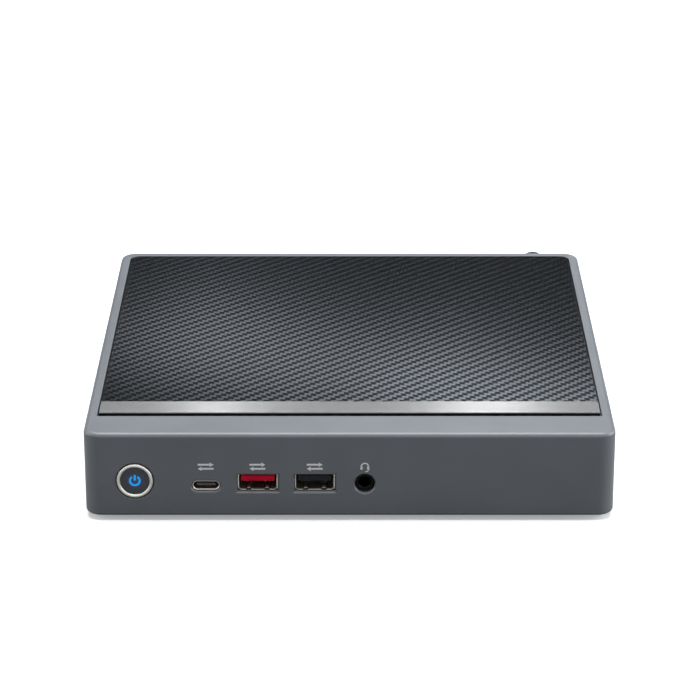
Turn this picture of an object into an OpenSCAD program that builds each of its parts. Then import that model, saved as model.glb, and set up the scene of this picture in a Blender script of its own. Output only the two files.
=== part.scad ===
// A flat, square desktop computer. A moulded cover carries an inlaid top panel, a metal
// trim strip and the power button. It slides forward off a steel tray that holds the
// mainboard, the sockets, the cooling and the drives. A thumbscrew at the rear locks it.
// +Z is up, -Y is the front. Z = 0 is the surface that the feet stand on, and X = Y = 0
// is the middle of the outline, thumbscrew included.

/* [Body] */
// Width of the body
body_w = 174; // [168:1:190]
// Depth of the body, front face to rear face
body_d = 174; // [168:1:190]
// Height of the body, underside to rim
body_h = 29.3; // [28.8:0.1:34]
// Radius of the four upright corners
corner_r = 5.5; // [4.5:0.1:6.5]
// Radius of the edge round the top
top_edge_r = 1.4; // [0.6:0.1:1.8]
// Radius of the edge round the underside
bottom_edge_r = 1; // [0.5:0.1:1.2]
// Height of the rubber feet
foot_h = 1.7; // [1.2:0.1:4]
// Radius of the rubber feet
foot_r = 7; // [5:0.5:9]

/* [Cover] */
// Thickness of the side walls
side_wall = 2; // [1.4:0.1:2.4]
// Thickness of the front wall
front_wall = 2.2; // [1.8:0.1:2.6]
// Thickness of the rear corners and the rear lip
rear_wall = 2; // [1.4:0.1:2.4]
// Thickness of the top, rim included
top_wall = 2.6; // [2.2:0.1:3]
// Height of the lip under the rear edge of the top
rear_lip_h = 1.6; // [1:0.1:2]
// Thickness of the lip under the sides and the front
under_lip_t = 1.2; // [1:0.1:1.6]
// Gap between the cover and the chassis it slides on
cover_gap = 0.3; // [0.2:0.05:0.4]
// How far the cover slides forward to come off the tray
cover_travel = 176; // [12:1:190]

/* [Top panel] */
// Width of the rim at the two sides
rim_side = 3.6; // [3:0.1:6]
// Width of the rim at the front
rim_front = 14.9; // [12:0.1:20]
// Width of the rim at the rear
rim_rear = 4.2; // [3:0.1:8]
// Depth of the recess in the top
recess_depth = 1.4; // [1:0.1:1.6]
// Open joint round the panel
panel_gap = 0.55; // [0.3:0.05:0.8]
// Open joint ahead of the trim strip
strip_gap = 1.6; // [0.4:0.1:2.2]
// How far the panel stands above the rim
panel_proud = 0.2; // [0:0.05:0.5]
// Radius of the panel's rear corners
panel_corner_r = 3.5; // [2:0.5:5]
// Depth of the trim strip, front to rear
strip_d = 9.7; // [6:0.1:14]
// How far the trim strip stands above the rim
strip_proud = 0.5; // [0.3:0.05:0.8]
// Thickness of the trim strip
strip_t = 0.7; // [0.5:0.05:0.9]
// Radius of the trim strip's front edge
strip_edge_r = 0.25; // [0.1:0.05:0.4]

/* [Power button] */
// Distance of the button from the left side of the body
button_inset = 16.7; // [14:0.25:20]
// Height of the button's centre over the underside
button_up = 12.5; // [12:0.1:14]
// Radius of the hole in the front wall
button_hole_r = 6.3; // [5.8:0.1:6.8]
// Outer radius of the metal ring
ring_r = 6; // [5.4:0.1:6]
// Width of the metal ring
ring_w = 1.2; // [0.8:0.1:1.4]
// Travel of the button
button_travel = 0.6; // [0.3:0.1:0.8]

/* [Front sockets] */
// Spacing of the power button and the small oval data socket
usb_c_pitch = 23.3; // [21:0.1:24]
// Spacing of the oval socket and the fast-charging data socket
fast_usb_pitch = 16.9; // [14:0.1:19]
// Spacing of the two rectangular data sockets
usb_pitch = 18.7; // [16:0.1:20]
// Spacing of the plain data socket and the headset socket
jack_pitch = 16.4; // [13:0.1:19]
// How far the sockets' mouths lie behind the front face
socket_recess = 1.3; // [0.5:0.1:1.6]
// How far the small oval socket's mouth lies behind the front face
oval_recess = 0.8; // [0.4:0.1:1.2]
// Clearance round each socket in the wall it passes through
socket_gap = 0.2; // [0.15:0.05:0.3]
// Bevel round each opening in the front wall
opening_bevel = 0.45; // [0.2:0.05:0.6]
// Radius of the headset plug's bore
jack_bore_r = 1.8; // [1.76:0.01:1.9]
// Depth of the headset plug's bore
jack_bore_depth = 12; // [11:0.5:13]

/* [Tray] */
// Thickness of the tray's sheet
tray_t = 1.2; // [0.8:0.1:1.4]
// Thickness of the rails on the cover's side walls
rail_t = 1.4; // [1:0.1:1.8]
// Height of the rails over the underside
rail_up = 4.4; // [4:0.1:5]
// How far the rails reach inside the tray's edge
rail_bite = 2.8; // [2:0.1:3.5]
// Spacing of the four mounting holes
vesa_pitch = 100; // [75, 100]
// Radius of the mounting holes
vesa_hole_r = 2; // [2:0.05:2.2]

/* [Mainboard] */
// Height of the mainboard's underside over the tray's floor
board_lift = 6; // [5.6:0.1:6.2]
// Thickness of the mainboard
board_t = 1.6; // [1:0.1:2]

/* [Thumbscrew] */
// Distance of the thumbscrew from the right side of the body
thumb_inset = 16.7; // [14:0.1:20]
// Radius of the thumbscrew's head
thumb_head_r = 4.6; // [4:0.1:5]
// How far the thumbscrew stands out behind the body
thumb_out = 4; // [3:0.1:6]
// Radius of the thumbscrew's shank
thumb_shank_r = 1.45; // [1.2:0.05:1.5]
// Length of shank in the cover's insert
thumb_bite = 4; // [3:0.1:4.5]

/* [Cooling] */
// Share of the body's width that the fin stack takes
fin_share = 0.207; // [0.17:0.001:0.215]
// Number of the impeller's blades
blade_count = 29; // [15:1:37]
// Number of fins in the stack
fin_count = 20; // [10:1:24]
// Width of the heat pipe
pipe_w = 8; // [6:0.5:9]
// Thickness of the heat pipe
pipe_t = 3; // [2:0.1:3.2]

/* [Hidden] */
$fn = 64;

eps = 0.01;           // overrun of a cut past the face it opens
seat_gap = 0.05;      // clearance of a piece that is dropped into its seat
front_y = -(body_d + thumb_out) / 2;
rear_y = front_y + body_d;
mid_y = front_y + body_d / 2;
left_x = -body_w / 2;
right_x = body_w / 2;
under_z = foot_h;
rim_z = under_z + body_h;
ceiling_z = rim_z - top_wall;          // underside of the cover's top
lip_z = ceiling_z - rear_lip_h;        // underside of the cover's rear lip
floor_z = under_z + tray_t;            // upper face of the tray's floor
board_z = floor_z + board_lift;        // underside of the mainboard
parts_z = board_z + board_t;           // upper face of the mainboard
lane_x = body_w / 2 - corner_r;        // the cover's rear corners sweep outside this
tray_x = lane_x - cover_gap;

web_x = lane_x - rail_bite - cover_gap; // outer face of the web behind the rail groove
board_x = web_x - tray_t - 0.8;
tray_front_y = front_y + corner_r + cover_gap;
plate_t = 1.2;                          // rear panel's sheet
plate_inset = 0.8;                      // rear panel's outer face, ahead of the rear face
plate_y = rear_y - plate_inset - plate_t;
plate_top_z = lip_z - cover_gap;
board_front_y = front_y + 4.7;
board_rear_y = plate_y - 0.8;

function fy(d) = front_y + d;           // a place behind the front face
function ry(d) = rear_y - d;            // a place ahead of the rear face
function lx(d) = left_x + d;            // a place in from the left side
function rx(d) = right_x - d;           // a place in from the right side

// The front row, from the power button to the right.
button_x = lx(button_inset);
button_z = under_z + button_up;
usb_c_x = button_x + usb_c_pitch;
fast_usb_x = usb_c_x + fast_usb_pitch;
usb_x = fast_usb_x + usb_pitch;
jack_x = usb_x + jack_pitch;

// The thumbscrew, the ear that carries it and the cover's boss that it goes into.
thumb_x = rx(thumb_inset);
thumb_z = rim_z - 0.8 - thumb_head_r;
ear_w = 11.6;
boss_w = 8;
boss_d = 8;
boss_z = thumb_z - 4;
boss_rear_y = plate_y - cover_gap;

// What the cooler takes of the body. The rest of its sizes follow from the fin stack's width.
fins_w = fin_share * min(body_w, body_d);
fins_d = 13;
fins_x = 0.17 * fins_w - tray_x;
fins_y = plate_y - 0.8 - fins_d;
case_r = 0.611 * fins_w;
case_l = 0.667 * fins_w;             // from the impeller's axis to the outlet
rotor_r = 0.773 * case_r;
blower_x = fins_x + case_r;
blower_y = fins_y - 0.5 - case_l;
board_screw_r = 2.8;
plate_size = 1.11 * fins_w;          // cold plate's width over its arms
cpu_x = fins_x + plate_size / 2 + 1;
cpu_y = blower_y - case_r - 2 * board_screw_r - 1.4 - plate_size / 2;
pipe_turn = fins_w / 3;              // bend radius at the pipe's middle
pipe_run_x = blower_x + case_r + pipe_w / 2 + 2; // where the pipe runs front to rear
pipe_end_y = fins_y + fins_d / 2;

// The rear row shares what is left between the heat pipe and the thumbscrew's ear.
dc_w = 10;
dc_h = 11;
hdmi_w = 15;
hdmi_h = 6.1;
display_w = 16.2;
display_h = 6.2;
network_w = 15.9;
network_h = 13.5;
network_l = 18;
rear_usb_w = 14.2;
rear_usb_h = 15.6;
rear_usb_l = 16;
socket_out_y = ry(0.3);              // where the rear sockets' mouths end
row_left = pipe_run_x + pipe_w / 2 + 1.4;
row_right = thumb_x - ear_w / 2;
row_gap = (row_right - row_left - dc_w - hdmi_w - display_w - network_w - rear_usb_w) / 5;
dc_x = row_left + row_gap / 2 + dc_w / 2;
hdmi_x = dc_x + dc_w / 2 + row_gap + hdmi_w / 2;
display_x = hdmi_x + hdmi_w / 2 + row_gap + display_w / 2;
network_x = display_x + display_w / 2 + row_gap + network_w / 2;
rear_usb_x = network_x + network_w / 2 + row_gap + rear_usb_w / 2;

// Storage, memory and radio, packed from the front and from the right.
sheet_t = 0.8;
drive_w = 69.85;
drive_l = 100;
drive_h = 7;
drive_x = thumb_x - boss_w / 2 - 0.5 - sheet_t - seat_gap - drive_w / 2;
ssd_w = 22;
ssd_l = 80;
ssd_x = board_x - ssd_l - 3.4;
ssd_y = fy(24.5);
ssd_z = parts_z + 2.1;
module_w = 67.6;
module_d = 30;
memory_x = drive_x + 1;
memory_w = module_w + 2;
memory_d = 8;
memory_h = 4.6;
memory_pitch = memory_d + module_d - 0.5;
memory_y = [ssd_y + ssd_w + 4.5, ssd_y + ssd_w + 4.5 + memory_pitch];
modules_end_y = memory_y[1] + memory_d - 3.9 + module_d;
drive_y = max(ssd_y - 1, modules_end_y + 0.9 - drive_l);
bracket_z = parts_z + 7.5;
bracket_front_y = ssd_y - 8;
bracket_l = drive_y + drive_l + 7 - bracket_front_y;
leg_l = 6;
wifi_x = 2.4 - board_x;
wifi_y = ssd_y;
cell_r = 6.25;
holder_r = cell_r + 1.35;
cell_x = (cpu_x + plate_size / 2 + memory_x - memory_w / 2) / 2;
cell_y = ssd_y + ssd_w + holder_r + 2;

// ---------- shapes that repeat ----------

module rounded_rect(w, d, r) {
    square([w - 2 * r, d], center = true);
    square([w, d - 2 * r], center = true);
    for (x = [-1, 1], y = [-1, 1])
        translate([x * (w / 2 - r), y * (d / 2 - r)]) circle(r);
}

// A box with rounded upright corners, centred on X and Y, standing on Z = 0.
module rounded_box(w, d, h, r) {
    linear_extrude(h) rounded_rect(w, d, r);
}

module quarter_disc(r) {
    intersection() {
        circle(r);
        square(r);
    }
}

// Half section of a corner, from its axis out to r, with rounded top and bottom edges.
module edge_section(r, h, top_r, bottom_r) {
    translate([0, bottom_r]) square([r, h - top_r - bottom_r]);
    translate([0, h - top_r]) square([r - top_r, top_r]);
    square([r - bottom_r, bottom_r]);
    translate([r - top_r, h - top_r]) quarter_disc(top_r);
    translate([r - bottom_r, bottom_r]) mirror([0, 1]) quarter_disc(bottom_r);
}

// A block with rounded corners and rounded top and bottom edges, one section run round it.
module filleted_block(w, d, h, r, top_r, bottom_r) {
    translate([r - w / 2, r - d / 2, 0]) cube([w - 2 * r, d - 2 * r, h]);
    for (turn = [0 : 3]) {
        run = turn % 2 == 0 ? d - 2 * r : w - 2 * r;
        out = turn % 2 == 0 ? w / 2 - r : d / 2 - r;
        rotate([0, 0, 90 * turn]) {
            translate([out, -run / 2, 0]) rotate([90, 0, 180]) mirror([1, 0, 0])
                linear_extrude(run) edge_section(r, h, top_r, bottom_r);
            translate([out, run / 2, 0]) rotate_extrude(angle = 90)
                edge_section(r, h, top_r, bottom_r);
        }
    }
}

// A rod along +Y from y to y + l.
module rod_y(r, l) {
    rotate([-90, 0, 0]) cylinder(r = r, h = l);
}

// A cone along +Y.
module cone_y(r1, r2, l) {
    rotate([-90, 0, 0]) cylinder(r1 = r1, r2 = r2, h = l);
}

// A flat-sided oval bar along +Y, centred on X and Z.
module oval_bar_y(w, h, l) {
    for (x = [-1, 1]) translate([x * (w - h) / 2, 0, 0]) rod_y(h / 2, l);
    translate([-(w - h) / 2, 0, -h / 2]) cube([w - h, l, h]);
}

// A rectangular bar along +Y with rounded edges, centred on X and Z.
module rect_bar_y(w, h, l, r) {
    translate([0, l, 0]) rotate([90, 0, 0]) linear_extrude(l) rounded_rect(w, h, r);
}

// Bevels that open towards -Y and narrow over their depth b.
module round_bevel(r, b) {
    translate([0, -eps, 0]) cone_y(r + b + eps, r, b + eps);
}

module rect_bevel(w, h, b) {
    intersection() {
        translate([0, 0, -h]) linear_extrude(2 * h)
            polygon([[-w / 2 - b, -eps], [w / 2 + b, -eps], [w / 2, b], [-w / 2, b]]);
        translate([-w, 0, 0]) rotate([90, 0, 90]) linear_extrude(2 * w)
            polygon([[-eps, -h / 2 - b], [-eps, h / 2 + b], [b, h / 2], [b, -h / 2]]);
    }
}

module oval_bevel(w, h, b) {
    for (x = [-1, 1]) translate([x * (w - h) / 2, 0, 0]) round_bevel(h / 2, b);
    translate([-(w - h) / 2, 0, 0]) rotate([90, 0, 90]) linear_extrude(w - h)
        polygon([[-eps, -h / 2 - b], [-eps, h / 2 + b], [b, h / 2], [b, -h / 2]]);
}

// A cross-headed pan screw, head up, its shank below Z = 0.
module pan_screw(head_r, head_h, shank_r, shank_l) {
    difference() {
        cylinder(r = head_r, h = head_h);
        for (turn = [0, 90]) rotate([0, 0, turn])
            translate([-head_r * 0.6, -0.25, head_h * 0.4]) cube([head_r * 1.2, 0.5, head_h]);
    }
    translate([0, 0, -shank_l]) cylinder(r = shank_r, h = shank_l + eps);
}

// ---------- the cover ----------

recess_w = body_w - 2 * rim_side;
recess_d = body_d - rim_front - rim_rear;
recess_front_r = 0.8;
ledge_set_back = 0.5;            // from the strip's front edge to the ledge under it
recess_z = rim_z - recess_depth;

// The recess's outline, or the inlay's when shrink is the open joint.
module recess_outline(shrink) {
    w = recess_w - 2 * shrink;
    front = fy(rim_front + shrink);
    rear = ry(rim_rear + shrink);
    small_r = recess_front_r;
    big_r = panel_corner_r;
    translate([-w / 2, front + small_r]) square([w, rear - front - small_r - big_r]);
    translate([-w / 2 + small_r, front]) square([w - 2 * small_r, small_r]);
    translate([-w / 2 + big_r, rear - big_r]) square([w - 2 * big_r, big_r]);
    for (x = [-1, 1]) {
        translate([x * (w / 2 - small_r), front + small_r]) circle(small_r);
        translate([x * (w / 2 - big_r), rear - big_r]) circle(big_r);
    }
}

mouth_y = fy(socket_recess);

usb_c_w = 8.94;
usb_c_h = 3.26;
usb_a_w = 13.1;
usb_a_h = 5.72;
jack_nose_r = 2.9;
jack_hole_r = jack_nose_r + 2 * socket_gap;
usb_c_foot = 0.3;                // pad that lifts the small socket off the board
jack_body_h = 5.5;
usb_c_z = parts_z + usb_c_foot + usb_c_h / 2;
usb_a_z = parts_z + usb_a_h / 2;
jack_z = parts_z + jack_body_h / 2;

vent_slots = 16;
vent_pitch = 4.2;
vent_w = 2;
vent_h = 11;

// A row of upright slots through one side wall, centred on the body's height.
module side_vents(side) {
    for (i = [0 : vent_slots - 1])
        translate([side * (body_w / 2 - side_wall / 2), mid_y + (i - (vent_slots - 1) / 2) * vent_pitch,
                   under_z + 0.5 * body_h]) {
            cube([2 * side_wall, vent_w, vent_h - vent_w], center = true);
            for (end = [-1, 1]) translate([0, 0, end * (vent_h - vent_w) / 2])
                rotate([0, 90, 0]) cylinder(r = vent_w / 2, h = 2 * side_wall, center = true);
        }
}

module front_openings() {
    depth = front_wall + 2;
    translate([button_x, front_y, button_z]) {
        translate([0, -eps, 0]) rod_y(button_hole_r, depth);
        round_bevel(button_hole_r, 0.3);
    }
    translate([usb_c_x, front_y, usb_c_z]) {
        translate([0, -eps, 0]) oval_bar_y(usb_c_w + 2 * socket_gap, usb_c_h + 2 * socket_gap, depth);
        oval_bevel(usb_c_w + 2 * socket_gap, usb_c_h + 2 * socket_gap, opening_bevel);
    }
    for (x = [fast_usb_x, usb_x]) translate([x, front_y, usb_a_z]) {
        translate([0, -eps, 0]) rect_bar_y(usb_a_w + 2 * socket_gap, usb_a_h + 2 * socket_gap, depth, 0.5);
        rect_bevel(usb_a_w + 2 * socket_gap, usb_a_h + 2 * socket_gap, opening_bevel);
    }
    translate([jack_x, front_y, jack_z]) {
        translate([0, -eps, 0]) rod_y(jack_hole_r, depth);
        round_bevel(jack_hole_r, opening_bevel);
    }
}

insert_r = 2.4;
insert_l = 6;
insert_bore_r = thumb_shank_r + 0.1;

module cover_boss() {
    translate([thumb_x - boss_w / 2, boss_rear_y - boss_d, boss_z])
        cube([boss_w, boss_d, ceiling_z - boss_z + eps]);
}

rail_z = under_z + rail_up;

module cover_rails() {
    for (side = [-1, 1])
        translate([side > 0 ? lane_x - rail_bite : -body_w / 2 + side_wall / 2, fy(8), rail_z])
            cube([body_w / 2 - side_wall / 2 - (lane_x - rail_bite), body_d - 16, rail_t]);
}

rib_t = 1.2;
rib_h = 1;

module cover_ribs() {
    for (i = [-2 : 2])
        translate([i * body_w / 6 - rib_t / 2, fy(front_wall - eps), ceiling_z - rib_h])
            cube([rib_t, body_d - front_wall - rear_wall, rib_h + eps]);
}

module cover_hollow() {
    inner_r = corner_r - side_wall;
    inner_w = body_w - 2 * side_wall;
    inner_d = body_d - front_wall - rear_wall;
    translate([0, fy(front_wall + inner_d / 2), under_z + under_lip_t])
        rounded_box(inner_w, inner_d, ceiling_z - under_z - under_lip_t, inner_r);
    translate([-lane_x, fy(corner_r), under_z - eps])
        cube([2 * lane_x, body_d, under_lip_t + 2 * eps]);
    translate([-lane_x, ry(rear_wall + 1), under_z - eps])
        cube([2 * lane_x, rear_wall + 2, lip_z - under_z + eps]);
    translate([thumb_x - ear_w / 2 - cover_gap, ry(rear_wall + 1), lip_z - 1])
        cube([ear_w + 2 * cover_gap, rear_wall + 2, rear_lip_h + 1]);
}

module cover_shell() {
    color("#6f767d") difference() {
        union() {
            difference() {
                translate([0, mid_y, under_z])
                    filleted_block(body_w, body_d, body_h, corner_r, top_edge_r, bottom_edge_r);
                cover_hollow();
            }
            cover_rails();
            cover_ribs();
            cover_boss();
            guide_pegs();
        }
        translate([0, 0, recess_z]) linear_extrude(recess_depth + 1) recess_outline(0);
        front_openings();
        for (side = [-1, 1]) side_vents(side);
        translate([thumb_x, boss_rear_y - boss_d - 1, thumb_z]) rod_y(insert_bore_r, boss_d + 2);
        translate([thumb_x, boss_rear_y - insert_l, thumb_z]) rod_y(insert_r + seat_gap, insert_l + 1);
    }
}

module screw_insert() {
    color("#b8923f") translate([thumb_x, boss_rear_y - insert_l, thumb_z]) difference() {
        union() {
            rod_y(insert_r - 0.2, insert_l);
            for (y = [0, 2.2, 4.4]) translate([0, y, 0]) rod_y(insert_r, 1.6);
        }
        translate([0, -1, 0]) rod_y(insert_bore_r, insert_l + 2);
    }
}

// ---------- the inlaid top ----------

strip_y = fy(rim_front + strip_gap);
strip_z = rim_z + strip_proud - strip_t;

// The panel's outline behind the line y.
module inlay_outline(y) {
    intersection() {
        recess_outline(panel_gap);
        translate([-body_w / 2, y]) square([body_w, body_d]);
    }
}

// The panel's front edge is a low ledge, set back under the trim strip that is bonded to it.
module top_panel() {
    color("#33363b") translate([0, 0, recess_z]) {
        linear_extrude(recess_depth + panel_proud) inlay_outline(strip_y + strip_d + seat_gap);
        linear_extrude(strip_z - recess_z) inlay_outline(strip_y + ledge_set_back);
    }
}

// A thin flat strip with a rounded front edge.
module trim_strip() {
    strip_w = recess_w - 2 * panel_gap;
    color("#c3c6c6") translate([-strip_w / 2, strip_y, strip_z]) rotate([90, 0, 90])
        linear_extrude(strip_w) {
            square([strip_d, strip_t - strip_edge_r]);
            translate([strip_edge_r, strip_t - strip_edge_r]) square([strip_d - strip_edge_r, strip_edge_r]);
            translate([strip_edge_r, strip_t - strip_edge_r]) mirror([1, 0]) quarter_disc(strip_edge_r);
        }
}

// ---------- the power button ----------

ring_t = 2.4;
ring_out = 0.2;                 // how far the ring stands out of the front face
cap_r = ring_r - ring_w - 0.1;
cap_sunk = 0.4;                 // how far the cap lies behind the ring's rim
cap_dish = 0.2;                 // hollow in the middle of the cap
flange_r = button_hole_r + 1.2;
flange_t = 1;
flange_y = fy(front_wall + seat_gap);
stem_r = 1.6;
switch_y = fy(11);              // front of the switch's plunger
icon_r = 1.95;
icon_w = 0.7;
icon_gap = 34;                  // half angle of the open top of the icon's ring

module button_ring() {
    color("#c9c7c2") translate([button_x, fy(-ring_out), button_z]) rotate([-90, 0, 0])
        rotate_extrude() {
            translate([ring_r - ring_w, ring_w / 2]) square([ring_w, ring_t - ring_w / 2]);
            translate([ring_r - ring_w / 2, ring_w / 2]) circle(ring_w / 2);
        }
}

cap_y = fy(cap_sunk - ring_out);

module icon_section() {
    difference() {
        circle(icon_r);
        circle(icon_r - icon_w);
        polygon([[0, 0], [-3 * sin(icon_gap), 3 * cos(icon_gap)], [3 * sin(icon_gap), 3 * cos(icon_gap)]]);
    }
    translate([-icon_w / 2, 0.1]) square([icon_w, icon_r]);
}

// The icon's bar and ring as a bar along +Y, upright in the X-Z plane.
module icon_bar(l) {
    translate([0, l, 0]) rotate([90, 0, 0]) linear_extrude(l) icon_section();
}

module button_cap() {
    dish_r = (cap_r * cap_r + cap_dish * cap_dish) / (2 * cap_dish) * 1.35;
    color("#3a3b3f") translate([button_x, cap_y, button_z]) difference() {
        union() {
            rod_y(cap_r, flange_y - cap_y + eps);
            translate([0, flange_y - cap_y, 0]) rod_y(flange_r, flange_t);
            translate([0, flange_y - cap_y, 0]) rod_y(stem_r, switch_y - flange_y - cap_stop);
        }
        translate([0, cap_dish - dish_r, 0]) sphere(dish_r, $fn = 96);
        translate([0, -eps, 0]) icon_bar(2 + eps);
    }
}

cap_stop = 0.3;                 // play between the stem and the switch's plunger

module power_icon() {
    color("#1f93ff") translate([button_x, cap_y + cap_dish, button_z]) icon_bar(2 - cap_dish);
}

guide_t = 1.4;
guide_gap = button_travel + 0.15;   // room behind the flange for the button to travel
guide_y = flange_y + flange_t + guide_gap;
peg_r = 1.2;
peg_x = flange_r + 2.2;

// Two pegs behind the front wall that the button's guide is staked to.
module guide_pegs() {
    for (side = [-1, 1]) translate([button_x + side * peg_x, fy(front_wall - eps), button_z])
        rod_y(peg_r, guide_y + guide_t - fy(front_wall) + 0.4);
}

module button_guide() {
    w = 2 * (peg_x + peg_r + 0.8);
    color("#2c2d30") translate([button_x, guide_y, button_z]) difference() {
        rect_bar_y(w, 2 * (stem_r + 1.2), guide_t, 1);
        translate([0, -1, 0]) rod_y(stem_r + 0.15, guide_t + 2);
        for (side = [-1, 1]) translate([side * peg_x, -1, 0]) rod_y(peg_r + seat_gap, guide_t + 2);
    }
}

// ---------- the tray and the rear panel ----------

tray_rear_y = rear_y - plate_inset;
tray_d = tray_rear_y - tray_front_y;
side_run = plate_y - tray_front_y;
vent_x = [for (i = [0 : 7]) fins_x + fins_w * (i + 0.5) / 8];
vent_y = [cpu_y - 27, cpu_y - 7];
panel_screw_x = [-0.36 * body_w, 0, 0.28 * body_w];
lock_w = 7;
lock_h = 3;

// Section of the tray's right side: a wall with a groove that the cover's rail runs in.
module side_section() {
    groove_low = rail_z - cover_gap;
    groove_high = rail_z + rail_t + cover_gap;
    polygon([
        [tray_x, under_z], [tray_x, groove_low], [web_x, groove_low], [web_x, groove_high],
        [tray_x, groove_high], [tray_x, groove_high + tray_t], [web_x - tray_t, groove_high + tray_t],
        [web_x - tray_t, groove_low - tray_t], [tray_x - tray_t, groove_low - tray_t],
        [tray_x - tray_t, under_z]
    ]);
}

flange_top_z = rail_z + rail_t + cover_gap + tray_t;

module at_vesa() {
    for (x = [-1, 1], y = [-1, 1])
        translate([x * vesa_pitch / 2, mid_y + y * vesa_pitch / 2, under_z]) children();
}

module at_feet() {
    for (x = [-1, 1], y = [-1, 1])
        translate([x * (body_w / 2 - 19), mid_y + y * (body_d / 2 - 19), 0]) children();
}

module base_tray() {
    color("#9aa0a5") difference() {
        union() {
            translate([-tray_x, tray_front_y, under_z]) cube([2 * tray_x, tray_d, tray_t]);
            for (side = [0, 1]) mirror([side, 0, 0])
                translate([0, tray_front_y + side_run, 0]) rotate([90, 0, 0])
                    linear_extrude(side_run) side_section();
        }
        at_vesa() translate([0, 0, -1]) cylinder(r = insert_outer_r + seat_gap, h = tray_t + 2);
        at_feet() translate([0, 0, under_z - 1]) cylinder(r = foot_peg_r + seat_gap, h = tray_t + 2);
        for (x = vent_x, y = vent_y) translate([x, y, under_z - 1]) {
            translate([-1, 0, 0]) cube([2, 14, tray_t + 2]);
            for (end = [0, 14]) translate([0, end, 0]) cylinder(r = 1, h = tray_t + 2);
        }
        for (x = panel_screw_x) translate([x, plate_y - 4, under_z - 1]) cylinder(r = 1.3, h = tray_t + 2);
        at_standoffs(0) translate([0, 0, under_z - 1]) cylinder(r = 1.55, h = tray_t + 2);
    }
}

// The outline that a rear socket passes the panel through, as a bar along +Y.
module panel_opening(x, z, w, h, r) {
    translate([x, plate_y - 1, z]) rect_bar_y(w + 2 * socket_gap, h + 2 * socket_gap, plate_t + 2, r);
}

exhaust_x = [for (i = [0 : 9]) fins_x + fins_w * (i + 0.5) / 10];

module rear_panel() {
    color("#a7abae") difference() {
        union() {
            translate([-tray_x, plate_y, floor_z]) cube([2 * tray_x, plate_t, plate_top_z - floor_z]);
            translate([thumb_x - ear_w / 2, plate_y, plate_top_z - 1])
                cube([ear_w, plate_t, ceiling_z - cover_gap - plate_top_z + 1]);
            translate([-tray_x + 6, plate_y - 8, floor_z]) cube([2 * tray_x - 12, 8 + eps, plate_t]);
        }
        for (x = exhaust_x) translate([x, plate_y - 1, parts_z + 1]) {
            translate([-1, 0, 1]) cube([2, plate_t + 2, 11]);
            for (z = [1, 12]) translate([0, 0, z]) rod_y(1, plate_t + 2);
        }
        panel_opening(dc_x, parts_z + dc_h / 2, dc_w, dc_h, 0.4);
        panel_opening(hdmi_x, parts_z + hdmi_h / 2, hdmi_w, hdmi_h, 0.4);
        panel_opening(display_x, parts_z + display_h / 2, display_w, display_h, 0.4);
        panel_opening(network_x, parts_z + network_h / 2, network_w, network_h, 0.4);
        panel_opening(rear_usb_x, parts_z + rear_usb_h / 2, rear_usb_w, rear_usb_h, 0.4);
        translate([thumb_x, plate_y - 1, thumb_z]) rod_y(thumb_shank_r + 0.1, plate_t + 2);
        translate([thumb_x - 2, plate_y - 1, floor_z + 3.6]) rect_bar_y(lock_w, lock_h, plate_t + 2, 0.8);
        for (x = panel_screw_x) translate([x, plate_y - 4, floor_z - 1]) cylinder(r = 1.3, h = plate_t + 2);
    }
}

module rear_panel_screws() {
    color("#8d9093") for (x = panel_screw_x) translate([x, plate_y - 4, floor_z + plate_t])
        pan_screw(2.4, 1.3, 1.2, plate_t + tray_t);
}

foot_peg_r = 2;

module rubber_feet() {
    color("#1b1c1e") at_feet() {
        cylinder(r1 = foot_r - 0.6, r2 = foot_r, h = 0.6);
        translate([0, 0, 0.6 - eps]) cylinder(r = foot_r, h = foot_h - 0.6 + eps);
        translate([0, 0, foot_h - eps]) cylinder(r = foot_peg_r, h = tray_t + 0.6);
    }
}

insert_outer_r = 3.4;
insert_up = 5;

module vesa_inserts() {
    color("#b9bcc0") at_vesa() difference() {
        union() {
            cylinder(r = insert_outer_r, h = insert_up);
            translate([0, 0, tray_t + seat_gap]) cylinder(r = insert_outer_r + 1, h = 1);
        }
        translate([0, 0, -1]) cylinder(r = vesa_hole_r, h = insert_up + 2);
    }
}

// ---------- the mainboard ----------

standoff_in = board_x - 5.4;
standoff_at = [
    [-standoff_in, memory_y[0] + 3], [standoff_in, memory_y[0] + 3],
    [-standoff_in, blower_y - case_r - board_screw_r - 0.7], [standoff_in, ry(26)],
    [dc_x, ry(19)], [jack_x + 17, fy(12)]
];
board_hole_r = 1.6;

module at_standoffs(z) {
    for (p = standoff_at) translate([p[0], p[1], z]) children();
}

module mainboard() {
    color("#23282c") difference() {
        translate([-board_x, board_front_y, board_z])
            cube([2 * board_x, board_rear_y - board_front_y, board_t]);
        at_standoffs(board_z - 1) cylinder(r = board_hole_r, h = board_t + 2);
        at_cpu_screws(board_z - 1) cylinder(r = 1.2, h = board_t + 2);
        at_bracket_feet(board_z - 1) cylinder(r = 1.2, h = board_t + 2);
        at_blower_screws(board_z - 1) cylinder(r = 1.2, h = board_t + 2);
    }
}

module board_standoffs() {
    color("#b9bcc0") at_standoffs(floor_z) difference() {
        union() {
            cylinder(r = 2.9, h = board_lift, $fn = 6);
            translate([0, 0, -tray_t]) cylinder(r = 1.5, h = tray_t + eps);
        }
        translate([0, 0, board_lift - 4]) cylinder(r = 1.5, h = 5);
    }
}

module board_screws() {
    color("#c6c8ca") at_standoffs(parts_z) pan_screw(board_screw_r, 1.8, 1.4, board_t + 3);
}

// ---------- front sockets ----------

usb_c_l = 8;
usb_a_l = 14;
shell_t = 0.35;

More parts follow.
